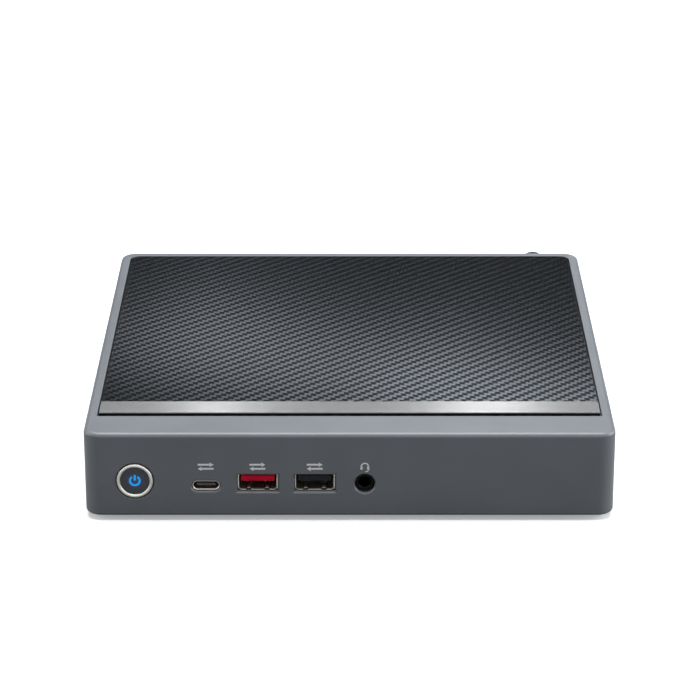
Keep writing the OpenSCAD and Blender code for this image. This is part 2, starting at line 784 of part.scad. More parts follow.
module usb_c_shell() {
    color("#b4b6b8") translate([usb_c_x, fy(oval_recess), usb_c_z]) difference() {
        union() {
            oval_bar_y(usb_c_w, usb_c_h, usb_c_l);
            translate([-3, 4.2, -usb_c_h / 2 - usb_c_foot]) cube([6, usb_c_l - 4.2, usb_c_foot + 0.6]);
        }
        translate([0, -1, 0]) oval_bar_y(usb_c_w - 2 * shell_t, usb_c_h - 2 * shell_t, usb_c_l);
        oval_bevel(usb_c_w - 2 * shell_t, usb_c_h - 2 * shell_t, 0.2);
    }
}

module usb_c_tongue() {
    color("#1d1e20") translate([usb_c_x, fy(oval_recess), usb_c_z]) {
        translate([0, 0.8, 0]) rect_bar_y(6.2, 0.7, usb_c_l - 2, 0.3);
        translate([0, usb_c_l - 2.6, 0])
            oval_bar_y(usb_c_w - 2 * shell_t - 0.1, usb_c_h - 2 * shell_t - 0.1, 1.5);
    }
}

spring_w = 1.1;
spring_l = 6.5;
spring_bow = 0.4;               // how far a spring finger bends into the mouth
spring_x = [-3, 3];

// A spring finger of the shell's floor: it rises from its root, then dips to its free end.
module shell_spring() {
    rotate([90, 0, 90]) linear_extrude(spring_w) polygon([
        [spring_l + 0.2, 0], [spring_l + 0.2, shell_t], [2.4, shell_t + spring_bow],
        [1.1, shell_t + 0.1], [1.1, 0.1], [2.4, spring_bow]
    ]);
}

flap_l = 0.8;                   // how far the flaps round the mouth reach ahead of the shell's top
side_flap_h = 3.1;
floor_flaps_w = 11.2;

// A folded metal shell, closed at the rear. Its floor and its top are each notched for two
// spring fingers that grip the plug. Flaps of its floor and its sides reach ahead of its top.
module usb_shell_at(x) {
    translate([x, mouth_y, usb_a_z]) {
        difference() {
            rect_bar_y(usb_a_w, usb_a_h, usb_a_l, 0.5);
            translate([0, -1, 0])
                rect_bar_y(usb_a_w - 2 * shell_t, usb_a_h - 2 * shell_t, usb_a_l + 1 - shell_t, 0.3);
            for (sx = spring_x) translate([sx - spring_w / 2 - 0.25, -1, -usb_a_h])
                cube([spring_w + 0.5, spring_l + 1, 2 * usb_a_h]);
            translate([-usb_a_w, -1, side_flap_h / 2]) cube([2 * usb_a_w, flap_l + 1, usb_a_h]);
            for (side = [0, 1]) mirror([side, 0, 0])
                translate([floor_flaps_w / 2, -1, -usb_a_h - side_flap_h / 2]) cube([usb_a_w, flap_l + 1, usb_a_h]);
        }
        for (sx = spring_x, up = [0, 1]) mirror([0, 0, up])
            translate([sx - spring_w / 2, 0, -usb_a_h / 2]) shell_spring();
    }
}

usb_tongue_up = 0.95;

module usb_tongue_at(x) {
    translate([x, mouth_y, usb_a_z]) {
        translate([0, 1, usb_tongue_up]) rect_bar_y(10.9, 1.85, usb_a_l - 3, 0.2);
        translate([0, usb_a_l - 4, 0])
            rect_bar_y(usb_a_w - 2 * shell_t - 0.1, usb_a_h - 2 * shell_t - 0.1, 3.4, 0.25);
    }
}

module fast_usb_shell() {
    color("#aeb0b2") usb_shell_at(fast_usb_x);
}

module usb_shell() {
    color("#aeb0b2") usb_shell_at(usb_x);
}

module fast_usb_tongue() {
    color("#b3202c") usb_tongue_at(fast_usb_x);
}

module usb_tongue() {
    color("#2b2c2e") usb_tongue_at(usb_x);
}

module audio_jack() {
    jack_l = jack_bore_depth + 1.6;
    body_y = front_wall + 0.5 - socket_recess;
    color("#17181a") translate([jack_x, mouth_y, jack_z]) difference() {
        union() {
            rod_y(jack_nose_r, body_y + 0.5);
            translate([-3.2, body_y, -jack_body_h / 2]) cube([6.4, jack_l - body_y, jack_body_h]);
        }
        translate([0, -1, 0]) rod_y(jack_bore_r, jack_bore_depth + 1);
        round_bevel(jack_bore_r, 0.35);
    }
}

plunger_r = 1.5;
plunger_out = 1.2;              // how far the plunger stands out of the switch
switch_l = 4;

module power_switch() {
    color("#c9cacb") translate([button_x, switch_y + plunger_out, button_z]) difference() {
        translate([-3, 0, parts_z - button_z]) cube([6, switch_l, button_z - parts_z + 3]);
        translate([0, -1, 0]) rod_y(plunger_r + 0.1, switch_l);
    }
}

module switch_plunger() {
    color("#2a2b2d") translate([button_x, switch_y, button_z])
        rod_y(plunger_r, plunger_out + switch_l - 1 - button_travel - 0.3);
}

// ---------- rear sockets ----------

module dc_jack() {
    dc_l = 13;
    color("#151618") translate([dc_x, socket_out_y - dc_l, parts_z]) difference() {
        translate([-dc_w / 2, 0, 0]) cube([dc_w, dc_l, dc_h]);
        translate([0, 3, dc_h / 2 + 0.6]) rod_y(3.2, dc_l);
        translate([0, 1, dc_h / 2 + 0.6]) rod_y(0.85 + seat_gap, dc_l);
    }
}

module dc_pin() {
    color("#c8b273") translate([dc_x, socket_out_y - 12 + seat_gap, parts_z + dc_h / 2 + 0.6]) {
        rod_y(0.85, 9.6);
        translate([0, 9.6, 0]) sphere(0.85, $fn = 48);
    }
}

// A metal shell around a mouth that opens to the rear, with a bevelled foot on each side.
module hdmi_outline(inset) {
    w = hdmi_w / 2 - inset;
    h = hdmi_h / 2 - inset;
    polygon([[-w, h], [w, h], [w, -h * 0.25], [w - 1.4, -h], [-w + 1.4, -h], [-w, -h * 0.25]]);
}

module hdmi_shell() {
    hdmi_l = 11;
    color("#b4b6b8") translate([hdmi_x, socket_out_y, parts_z + hdmi_h / 2]) rotate([90, 0, 0]) difference() {
        linear_extrude(hdmi_l) hdmi_outline(0);
        translate([0, 0, -1]) linear_extrude(hdmi_l) hdmi_outline(0.4);
    }
}

module display_outline(inset) {
    w = display_w / 2 - inset;
    h = display_h / 2 - inset;
    polygon([[-w, h], [w, h], [w, -h + 1.8], [w - 1.8, -h], [-w, -h]]);
}

module display_shell() {
    display_l = 11;
    color("#b4b6b8") translate([display_x, socket_out_y, parts_z + display_h / 2])
        rotate([90, 0, 0]) difference() {
            linear_extrude(display_l) display_outline(0);
            translate([0, 0, -1]) linear_extrude(display_l) display_outline(0.4);
        }
}

module video_tongues() {
    color("#1a1b1d") {
        translate([hdmi_x, socket_out_y - 9.9, parts_z + hdmi_h / 2 + 0.4]) {
            rect_bar_y(10.4, 1.1, 8.6, 0.3);
            translate([0, -0.05, -0.4]) rect_bar_y(hdmi_w - 4, hdmi_h - 1.2, 1.5, 0.3);
        }
        translate([display_x, socket_out_y - 9.9, parts_z + display_h / 2 + 0.6]) {
            rect_bar_y(12, 1.1, 8.6, 0.3);
            translate([-0.8, -0.05, -0.6]) rect_bar_y(display_w - 5, display_h - 1.2, 1.5, 0.3);
        }
    }
}

network_mouth_w = 11.9;
network_mouth_h = 8.2;

module network_jack() {
    color("#8f9294") translate([network_x, socket_out_y - network_l, parts_z]) difference() {
        translate([-network_w / 2, 0, 0]) cube([network_w, network_l, network_h]);
        translate([-network_mouth_w / 2, 4, 2]) cube([network_mouth_w, network_l, network_mouth_h - 1.4]);
        translate([-3.1, 4, 2]) cube([6.2, network_l, network_mouth_h + 0.6]);
    }
}

module network_contacts() {
    color("#d3b04c") for (i = [0 : 7])
        translate([network_x + (i - 3.5) * 1.02 - 0.2, socket_out_y - network_l + 4, parts_z + 2])
            cube([0.4, 8, 0.4]);
}

rear_usb_z = [3.9, 11.7];

module rear_usb_shells() {
    color("#b4b6b8") translate([rear_usb_x, socket_out_y - rear_usb_l, parts_z]) difference() {
        translate([0, 0, rear_usb_h / 2]) rect_bar_y(rear_usb_w, rear_usb_h, rear_usb_l, 0.4);
        for (z = rear_usb_z) translate([0, 1.5, z])
            rect_bar_y(12.4, 5.2, rear_usb_l, 0.3);
    }
}

module rear_usb_tongues() {
    color("#2358b0") translate([rear_usb_x, socket_out_y - rear_usb_l, parts_z]) for (z = rear_usb_z) {
        translate([0, 1.5, z + 0.9]) rect_bar_y(10.9, 1.85, rear_usb_l - 3, 0.2);
        translate([0, 1.5, z]) rect_bar_y(12.3, 5.1, 2.2, 0.25);
    }
}

// ---------- the processor and its cooling ----------

cpu_h = 2;
cold_h = 3;
pipe_sink = 1;
cold_z = parts_z + cpu_h;
pipe_z = cold_z + cold_h - pipe_sink;
cpu_screw_pitch = plate_size - 6;
fins_z = parts_z;
fins_h = 14;
fin_t = 0.35;

module at_cpu_screws(z) {
    for (x = [-1, 1], y = [-1, 1])
        translate([cpu_x + x * cpu_screw_pitch / 2, cpu_y + y * cpu_screw_pitch / 2, z]) children();
}

module processor() {
    color("#2f4a3a") translate([cpu_x, cpu_y, parts_z]) {
        translate([-14, -14, 0]) cube([28, 28, 1.1]);
        translate([-7, -5, 1.1 - eps]) cube([14, 10, cpu_h - 1.1 + eps]);
    }
}

module pipe_section() {
    translate([0, pipe_t / 2]) {
        for (x = [-1, 1]) translate([x * (pipe_w - pipe_t) / 2, 0]) circle(pipe_t / 2);
        square([pipe_w - pipe_t, pipe_t], center = true);
    }
}

// A straight length of pipe along +X from the origin.
module pipe_x(l) {
    rotate([90, 0, 90]) linear_extrude(l) pipe_section();
}

module cold_plate() {
    color("#b87345") difference() {
        union() {
            translate([cpu_x - plate_size / 2 + 6, cpu_y - plate_size / 2 + 6, cold_z])
                cube([plate_size - 12, plate_size - 12, cold_h]);
            for (turn = [45, 135]) translate([cpu_x, cpu_y, cold_z]) rotate([0, 0, turn])
                translate([-cpu_screw_pitch * 0.707 - 2, -3, 0]) cube([cpu_screw_pitch * 1.414 + 4, 6, 1.2]);
        }
        translate([cpu_x - plate_size / 2, cpu_y - pipe_w / 2 - seat_gap, pipe_z])
            cube([plate_size, pipe_w + 2 * seat_gap, cold_h]);
        at_cpu_screws(cold_z - 1) cylinder(r = 1.2, h = 4);
    }
}

module heat_pipe() {
    bend_x = pipe_run_x - pipe_turn;
    color("#b06a3c") translate([0, 0, pipe_z]) {
        start_x = cpu_x - plate_size / 2 + 2;
        translate([start_x, cpu_y, 0]) pipe_x(bend_x - start_x);
        translate([bend_x, cpu_y + pipe_turn, 0]) rotate([0, 0, -90])
            rotate_extrude(angle = 90) translate([pipe_turn, 0]) pipe_section();
        translate([pipe_run_x, pipe_end_y - pipe_turn, 0]) rotate([90, 0, 0])
            linear_extrude(pipe_end_y - cpu_y - 2 * pipe_turn) pipe_section();
        translate([bend_x, pipe_end_y - pipe_turn, 0])
            rotate_extrude(angle = 90) translate([pipe_turn, 0]) pipe_section();
        translate([fins_x + 0.5, pipe_end_y, 0]) pipe_x(bend_x - fins_x - 0.5);
    }
}

module fin_stack() {
    pitch = (fins_w - fin_t) / (fin_count - 1);
    color("#b3b7bb") translate([fins_x, fins_y, fins_z]) difference() {
        union() {
            for (i = [0 : fin_count - 1]) translate([i * pitch, 0, 0]) cube([fin_t, fins_d, fins_h]);
            cube([fins_w, fins_d, 0.3]);
            translate([0, 0, fins_h - 0.3]) cube([fins_w, fins_d, 0.3]);
        }
        translate([-1, fins_d / 2, pipe_z - fins_z]) pipe_x(fins_w + 2);
    }
}

// ---------- the blower ----------

case_h = 14;
case_wall = 1.2;
case_floor = 1;
lid_t = 0.8;
blower_z = parts_z;
hub_r = 0.53 * rotor_r;
hub_h = 8;
blade_h = 10;
blade_t = 0.7;
rotor_up = 1.4;                      // impeller's underside over the case's floor
shaft_r = 1;
inlet_r = 0.74 * rotor_r;
lug_r = 2.6;

module case_outline(inset) {
    circle(case_r - inset);
    translate([-case_r + inset, 0]) square([fins_w - 2 * inset, case_l]);
}

lug_at = 0.707 * case_r + 3.6;
blower_screw_at = [[-lug_at, -lug_at], [lug_at, -lug_at], [case_r - lug_r, 0.73 * case_r]];

module at_blower_screws(z) {
    for (p = blower_screw_at) translate([blower_x + p[0], blower_y + p[1], z]) children();
}

module blower_lugs(h) {
    at_blower_screws(blower_z) cylinder(r = lug_r, h = h);
    for (p = blower_screw_at) translate([blower_x, blower_y, blower_z])
        rotate([0, 0, atan2(p[1], p[0])]) translate([case_r - 2, -2, 0])
            cube([norm(p) - case_r + 2, 4, h]);
}

module blower_case() {
    color("#222326") difference() {
        union() {
            translate([blower_x, blower_y, blower_z]) linear_extrude(case_h - lid_t) case_outline(0);
            blower_lugs(2.4);
        }
        translate([blower_x, blower_y, blower_z + case_floor]) linear_extrude(case_h)
            case_outline(case_wall);
        translate([blower_x - case_r + case_wall, blower_y + case_l - case_wall - 1, blower_z + case_floor])
            cube([fins_w - 2 * case_wall, case_wall + 2, case_h]);
        at_blower_screws(blower_z - 1) cylinder(r = 1.2, h = 4);
        translate([blower_x, blower_y, blower_z - 1]) cylinder(r = 3 + seat_gap, h = 3);
    }
}

module blower_lid() {
    color("#c2c5c8") translate([blower_x, blower_y, blower_z + case_h - lid_t]) linear_extrude(lid_t)
        difference() {
            case_outline(0);
            circle(inlet_r);
        }
}

module cooler_screws() {
    color("#c6c8ca") {
        at_cpu_screws(cold_z + 1.2) pan_screw(2.3, 1.2, 1.1, 1.2 + cpu_h + board_t);
        at_blower_screws(blower_z + 2.4) pan_screw(2.3, 1.2, 1.1, 2.4 + board_t);
    }
}

module blower_motor() {
    color("#6d4a2a") translate([blower_x, blower_y, blower_z]) difference() {
        union() {
            cylinder(r = 3, h = case_floor + 5.5);
            translate([0, 0, case_floor + 1]) cylinder(r = hub_r - 1.8, h = 4);
            translate([0, 0, case_floor]) cylinder(r = 4.5, h = 1 + eps);
        }
        translate([0, 0, 1]) cylinder(r = shaft_r + 0.05, h = 10);
        for (i = [0 : 5]) rotate([0, 0, 60 * i]) translate([4.6, -0.5, case_floor + 0.8]) cube([4, 1, 5]);
    }
}

// One backward-swept blade, an arc of even thickness from the hub to the rim.
module blade_outline() {
    arc_r = 0.56 * rotor_r;
    translate([(rotor_r + hub_r) / 2 - 0.5, -0.8 * arc_r]) intersection() {
        difference() {
            circle(arc_r);
            circle(arc_r - blade_t);
        }
        translate([-arc_r, 0]) square([2 * arc_r, arc_r]);
    }
}

module blower_rotor() {
    hub_z = blower_z + case_floor + rotor_up;
    color("#1c1d20") translate([blower_x, blower_y, hub_z]) {
        difference() {
            cylinder(r = hub_r, h = hub_h);
            translate([0, 0, -1]) cylinder(r = hub_r - 0.8, h = hub_h);
        }
        translate([0, 0, -0.9]) cylinder(r = shaft_r, h = hub_h);
        translate([0, 0, hub_h / 2]) difference() {
            cylinder(r = rotor_r - 0.5, h = 0.8);
            translate([0, 0, -1]) cylinder(r = hub_r - 0.4, h = 3);
        }
        linear_extrude(blade_h) intersection() {
            for (i = [0 : blade_count - 1]) rotate(i * 360 / blade_count) blade_outline();
            difference() {
                circle(rotor_r);
                circle(hub_r - 0.3);
            }
        }
    }
}

// ---------- memory, storage and radio ----------

module memory_sockets() {
    color("#1b1c1f") for (y = memory_y) translate([memory_x, y, parts_z]) difference() {
        union() {
            translate([-memory_w / 2, 0, 0]) cube([memory_w, memory_d, memory_h]);
            for (side = [-1, 1]) translate([side * (memory_w / 2 - 0.4) - 0.4, memory_d - eps, 0])
                cube([0.8, 20, memory_h - 0.4]);
        }
        translate([-module_w / 2 - 0.1, memory_d - 4, 2.1]) cube([module_w + 0.2, 5, 1.3]);
    }
}

module memory_modules() {
    color("#1f5a3b") for (y = memory_y) translate([memory_x, y + memory_d - 3.9, parts_z + 2.2]) {
        difference() {
            translate([-module_w / 2, 0, 0]) cube([module_w, module_d, 1.1]);
            for (side = [-1, 1]) translate([side * module_w / 2, module_d - 10, -1]) cylinder(r = 0.9, h = 3);
        }
        for (i = [-1.5 : 1 : 1.5]) translate([i * 15.5 - 5.5, 11, 1.1 - eps]) cube([11, 12, 1]);
    }
}

module ssd_socket() {
    color("#1b1c1f") translate([ssd_x - 5, ssd_y, parts_z]) difference() {
        cube([8.7, ssd_w, 4]);
        translate([5, -1, 2]) cube([5, ssd_w + 2, 1.1]);
    }
}

module ssd_module() {
    color("#1d3d2e") translate([ssd_x + 0.05, ssd_y, ssd_z]) {
        difference() {
            cube([ssd_l, ssd_w, 0.8]);
            translate([ssd_l, ssd_w / 2, -1]) cylinder(r = 1.8, h = 3);
        }
        translate([6, 3, 0.8 - eps]) cube([12, 16, 1]);
        translate([24, 3, 0.8 - eps]) cube([14, 16, 1]);
        translate([50, 3, 0.8 - eps]) cube([14, 16, 1]);
    }
}

module ssd_post() {
    color("#b9bcc0") translate([ssd_x + ssd_l, ssd_y + ssd_w / 2, parts_z]) {
        cylinder(r = 2.6, h = ssd_z - parts_z);
        cylinder(r = 1.7, h = ssd_z - parts_z + 0.9);
        translate([0, 0, ssd_z - parts_z + 0.85]) pan_screw(2.6, 0.9, 1, 0.4);
    }
}

module wifi_card() {
    color("#214236") translate([wifi_x, wifi_y, parts_z]) {
        translate([30, 1, 0]) cube([8, 20, 3.4]);
        translate([0, 0, 1.4]) cube([30.1, 22, 0.8]);
        translate([3, 3, 2.2 - eps]) cube([22, 16, 1.2]);
        translate([-1, 9, 0]) cube([3.4, 4, 1.4 + eps]);
    }
}

module wifi_antennas() {
    color("#c9a227") for (side = [-1, 1])
        translate([side * (tray_x + web_x - tray_t) / 2 - 1.7, fy(0.35 * body_d), flange_top_z]) cube([3.4, 34, 0.8]);
}

module cell_holder() {
    color("#1e1f22") translate([cell_x, cell_y, parts_z]) difference() {
        cylinder(r = holder_r, h = 3);
        translate([0, 0, 0.8]) cylinder(r = cell_r + 0.1, h = 4);
        translate([-2.5, -holder_r - 1, 1.6]) cube([5, holder_r, 3]);
    }
}

module coin_cell() {
    color("#c4c6c8") translate([cell_x, cell_y, parts_z + 0.8]) {
        cylinder(r = cell_r, h = 1.6);
        cylinder(r = cell_r - 0.8, h = 2);
    }
}

// ---------- the drive ----------

module at_bracket_feet(z) {
    for (side = [-1, 1], y = [bracket_front_y + leg_l / 2, bracket_front_y + bracket_l - leg_l / 2])
        translate([drive_x + side * (drive_w / 2 + 4.2), y, z]) children();
}

drive_screw_y = [14, drive_l - 9.4];

module drive_bracket() {
    out_w = drive_w + 2 * (sheet_t + seat_gap);
    color("#a3a7aa") difference() {
        union() {
            translate([drive_x - out_w / 2, bracket_front_y, bracket_z]) cube([out_w, bracket_l, sheet_t]);
            for (side = [-1, 1]) translate([drive_x + side * (out_w - sheet_t) / 2, 0, 0]) {
                translate([-sheet_t / 2, drive_y + 2, bracket_z]) cube([sheet_t, drive_l - 4, 6]);
                for (y = [bracket_front_y, bracket_front_y + bracket_l - leg_l]) {
                    translate([-sheet_t / 2, y, parts_z]) cube([sheet_t, leg_l, bracket_z - parts_z + eps]);
                    translate([side > 0 ? -sheet_t / 2 : sheet_t / 2 - 7.2, y, parts_z])
                        cube([7.2, leg_l, sheet_t]);
                }
            }
        }
        at_bracket_feet(parts_z - 1) cylinder(r = 1.2, h = 3);
        for (side = [-1, 1], y = drive_screw_y)
            translate([drive_x + side * out_w / 2, drive_y + y, bracket_z + sheet_t + 3])
                rotate([0, 90, 0]) cylinder(r = 1.6, h = 4, center = true);
        for (y = [16 : 17 : drive_l - 16]) translate([drive_x - 26, drive_y + y, bracket_z - 1])
            rounded_box_corner(52, 9, 3);
    }
}

// A plain rectangular window with rounded corners, its corner on the origin.
module rounded_box_corner(w, d, h) {
    translate([w / 2, d / 2, 0]) rounded_box(w, d, h, 2);
}

module drive() {
    z = bracket_z + sheet_t;
    color("#8b8f93") difference() {
        translate([drive_x, drive_y + drive_l / 2, z]) rounded_box(drive_w, drive_l, drive_h, 1.5);
        translate([drive_x - 22, drive_y + drive_l - 5, z + 1]) cube([40, 6, 4]);
        for (side = [-1, 1], y = drive_screw_y)
            translate([drive_x + side * drive_w / 2, drive_y + y, z + 3])
                rotate([0, 90, 0]) cylinder(r = 1.5, h = 7, center = true);
    }
}

module drive_screws() {
    color("#c6c8ca") {
        for (y = drive_screw_y) {
            translate([drive_x - drive_w / 2 - sheet_t - seat_gap, drive_y + y, bracket_z + sheet_t + 3])
                rotate([0, -90, 0]) pan_screw(2.4, 0.4, 1.4, 4);
            translate([drive_x + drive_w / 2 + sheet_t + seat_gap, drive_y + y, bracket_z + sheet_t + 3])
                rotate([0, 90, 0]) pan_screw(2.4, 0.2, 1.4, 4);
        }
        at_bracket_feet(parts_z + sheet_t) pan_screw(2, 1.2, 1.1, sheet_t + board_t);
    }
}

module drive_socket() {
    y = drive_y + drive_l + 0.4;
    color("#1b1c1f") {
        translate([drive_x - 26, y, parts_z]) cube([48, 1.6, bracket_z - parts_z]);
        translate([drive_x - 26, y, bracket_z + sheet_t + seat_gap]) cube([48, 1.6, 6]);
        translate([drive_x - 21, y - 4.6, bracket_z + sheet_t + 2]) cube([38, 4.6 + eps, 1.6]);
    }
}

// ---------- small parts of the board ----------

choke_w = 6.8;
choke_pitch = 9;
capacitor_pitch = 9;

module chokes() {
    color("#5b5f63") for (i = [0 : 2])
        translate([-standoff_in + 7 + i * choke_pitch, cpu_y - plate_size / 2 - 2.6 - choke_w, parts_z]) {
            translate([0.3, 0.3, 0]) cube([choke_w - 0.6, choke_w - 0.6, 0.6]);
            translate([0, 0, 0.5]) cube([choke_w, choke_w, 3.4]);
        }
}

module capacitors() {
    color("#3b3f57") for (i = [0 : 3])
        translate([hdmi_x + i * capacitor_pitch, socket_out_y - network_l - 4, parts_z]) {
            translate([-2.9, -2.9, 0]) cube([5.8, 5.8, 0.9]);
            cylinder(r = 2.6, h = 6);
        }
}

// ---------- the thumbscrew ----------

head_y = rear_y + 0.35;
head_l = thumb_out - 0.35;
collar_r = 2.5;
flute_count = 24;

module thumbscrew() {
    color("#83888d") translate([thumb_x, head_y, thumb_z]) {
        difference() {
            rotate([-90, 0, 0]) rotate_extrude() polygon([
                [0, 0], [thumb_head_r - 0.5, 0], [thumb_head_r, 0.5], [thumb_head_r, head_l - 0.5],
                [thumb_head_r - 0.5, head_l], [2.4, head_l], [2, head_l - 0.6], [0, head_l - 0.6]
            ]);
            for (i = [0 : flute_count - 1]) rotate([0, i * 360 / flute_count, 0])
                translate([thumb_head_r + 0.15, -1, 0]) rod_y(0.35, head_l + 2);
            translate([-2.2, head_l - 1.4, -0.3]) cube([4.4, 2, 0.6]);
            translate([-0.3, head_l - 1.4, -2.2]) cube([0.6, 2, 4.4]);
        }
        translate([0, -(head_y - boss_rear_y) - thumb_bite, 0])
            rod_y(thumb_shank_r, head_y - boss_rear_y + thumb_bite + eps);
    }
}

module screw_collar() {
    collar_y = plate_y + plate_t;
    color("#9a9ea2") translate([thumb_x, collar_y, thumb_z]) difference() {
        rod_y(collar_r, head_y - collar_y);
        translate([0, -1, 0]) rod_y(thumb_shank_r + 0.05, 4);
    }
}

cover_shell();
top_panel();
trim_strip();
button_guide();
screw_insert();
button_cap();
button_ring();
power_icon();
base_tray();
rear_panel();
rear_panel_screws();
rubber_feet();
vesa_inserts();
mainboard();
board_standoffs();
board_screws();
usb_c_shell();
usb_c_tongue();
fast_usb_shell();
fast_usb_tongue();
usb_shell();
usb_tongue();
audio_jack();
power_switch();
switch_plunger();
dc_jack();
dc_pin();
hdmi_shell();
display_shell();
video_tongues();
network_jack();
network_contacts();
rear_usb_shells();
rear_usb_tongues();
processor();
cold_plate();
heat_pipe();
fin_stack();
cooler_screws();
blower_case();
blower_lid();
blower_motor();
blower_rotor();
memory_sockets();
memory_modules();
ssd_socket();
ssd_module();
ssd_post();
wifi_card();
wifi_antennas();
cell_holder();
coin_cell();
drive_bracket();
drive();
drive_screws();
drive_socket();
chokes();
capacitors();
thumbscrew();
screw_collar();
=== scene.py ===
"""Looks of a flat square desktop computer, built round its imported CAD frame.

Every finish is a node material, patterns are sized in real millimetres, and the pieces
that the frame leaves out are added: printed marks, contacts, small board parts, the
screw's thread and the inner leads. Units are metres, in the frame of the CAD.
"""

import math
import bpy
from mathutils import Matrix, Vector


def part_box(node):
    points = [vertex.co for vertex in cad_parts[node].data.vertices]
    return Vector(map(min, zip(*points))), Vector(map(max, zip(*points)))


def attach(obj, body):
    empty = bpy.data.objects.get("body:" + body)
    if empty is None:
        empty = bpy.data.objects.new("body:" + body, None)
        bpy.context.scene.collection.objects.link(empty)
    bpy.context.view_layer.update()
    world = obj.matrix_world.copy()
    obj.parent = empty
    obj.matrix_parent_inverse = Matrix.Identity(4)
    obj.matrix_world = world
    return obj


bl_info = {
    "name": "Mini PC Looks",
    "version": (1, 0, 0),
    "blender": (4, 5, 0),
    "location": "View3D > Sidebar > Mini PC",
    "description": "Finishes, printed marks, small parts and stage of a flat desktop computer",
    "category": "Object",
}

import bmesh
import bpy
from bpy.props import FloatProperty, FloatVectorProperty, IntProperty, PointerProperty
from mathutils import Quaternion, Vector

MM = 0.001
MATH, RANGE, MIX = "ShaderNodeMath", "ShaderNodeMapRange", "ShaderNodeMix"
# a mix of two colours takes them in its inputs 6 and 7, and the second one's share in input 0
COLOURS = {"data_type": "RGBA", "out": 2}
# nearly all values of a noise lie in this span
NOISE_SPAN = {"From Min": 0.3, "From Max": 0.7}
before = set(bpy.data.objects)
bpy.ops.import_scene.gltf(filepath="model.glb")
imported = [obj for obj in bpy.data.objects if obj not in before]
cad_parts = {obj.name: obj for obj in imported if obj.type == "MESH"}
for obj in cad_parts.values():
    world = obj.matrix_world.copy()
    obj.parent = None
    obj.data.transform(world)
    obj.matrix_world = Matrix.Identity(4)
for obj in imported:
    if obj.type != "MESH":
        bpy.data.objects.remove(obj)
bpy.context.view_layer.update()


# ---------- nodes ----------


def linear(hex_colour):
    """An sRGB hex colour as the linear colour that Blender's sockets take."""
    out = []
    for i in (0, 2, 4):
        c = int(hex_colour[i : i + 2], 16) / 255
        out.append(c / 12.92 if c <= 0.04045 else ((c + 0.055) / 1.055) ** 2.4)
    return (*out, 1.0)


def shades(colour, spread):
    """A darker and a paler shade of a linear colour, each a share of it away."""
    return [(*(c * (1 + side * spread) for c in colour[:3]), 1.0) for side in (-1, 1)]


def add(tree, kind, inputs=None, out=0, **settings):
    """Adds a node with its settings and links, and returns one of its outputs.

    Each input is a value, or the output of another node that it is joined to.
    """
    node = tree.nodes.new(kind)
    for key, value in settings.items():
        setattr(node, key, value)
    for key, value in (inputs or {}).items():
        if isinstance(value, bpy.types.NodeSocket):
            tree.links.new(value, node.inputs[key])
        else:
            node.inputs[key].default_value = value
    return node.outputs[out] if len(node.outputs) else None


def new_material(name):
    """A new material and its empty tree of nodes."""
    material = bpy.data.materials.new(name)
    material.use_nodes = True
    material.node_tree.nodes.clear()
    return material, material.node_tree


def surface(material, **inputs):
    """Closes a material with its surface shader. Its inputs are named with _ for each space."""
    t = material.node_tree
    named = {key.replace("_", " "): value for key, value in inputs.items()}
    shader = add(t, "ShaderNodeBsdfPrincipled", named)
    add(t, "ShaderNodeOutputMaterial", {"Surface": shader})
    return material


def pattern(t, size_mm, detail=3, stretch=(1, 1, 1)):
    """Noise whose blobs are size_mm wide on the object, drawn out by stretch."""
    place = add(t, "ShaderNodeTexCoord", out="Object")
    scale = tuple(1 / (size_mm * MM * s) for s in stretch)
    mapped = add(t, "ShaderNodeMapping", {"Vector": place, "Scale": scale})
    inputs = {"Vector": mapped, "Scale": 1.0, "Detail": detail, "Roughness": 0.5}
    return add(t, "ShaderNodeTexNoise", inputs, out="Fac")


def two_tone(t, cloud, dark, pale):
    """A colour that drifts between two tones with a pattern."""
    share = add(t, RANGE, {"Value": cloud, **NOISE_SPAN, "To Min": 0.0, "To Max": 1.0})
    return add(t, MIX, {0: share, 6: dark, 7: pale}, **COLOURS)


def grained(t, grain, roughness, relief_mm=None, strength=0.5, edge_mm=None, ridges=None):
    """The roughness that a grain gives and the relief that it has, or that other ridges have.

    Sharp edges are rounded to the eye by edge_mm.
    """
    low, high = roughness
    parts = {"Roughness": add(t, RANGE, {"Value": grain, **NOISE_SPAN, "To Min": low, "To Max": high})}
    if relief_mm is not None:
        height = grain if ridges is None else ridges
        relief = {"Height": height, "Distance": relief_mm * MM, "Strength": strength}
        if edge_mm is not None:
            relief["Normal"] = add(t, "ShaderNodeBevel", {"Radius": edge_mm * MM}, samples=4)
        parts["Normal"] = add(t, "ShaderNodeBump", relief)
    return parts


def front_to_back(t, cad_node, start_mm, end_mm, ahead, behind):
    """One colour at the front of a CAD node, which turns into another between two depths."""
    place = add(t, "ShaderNodeTexCoord", out="Object")
    y = add(t, "ShaderNodeSeparateXYZ", {0: place}, out=1)
    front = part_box(cad_node)[0][1]
    depths = {"From Min": front + start_mm * MM, "From Max": front + end_mm * MM}
    share = add(t, RANGE, {"Value": y, **depths})
    return add(t, MIX, {0: share, 6: ahead, 7: behind}, **COLOURS)


def grained_finish(
    name, tones, *, tone_mm, tone_detail=3, grain_mm, grain_detail=3, stretch=(1, 1, 1),
    roughness, relief_mm, strength=0.5, edge_mm=None, **more,
):
    """A finish whose two tones drift with one pattern, under the fine grain of another."""
    material, t = new_material(name)
    colour = two_tone(t, pattern(t, tone_mm, tone_detail), *tones)
    grain = pattern(t, grain_mm, grain_detail, stretch)
    return surface(
        material, Base_Color=colour, **grained(t, grain, roughness, relief_mm, strength, edge_mm), **more
    )


# ---------- materials ----------


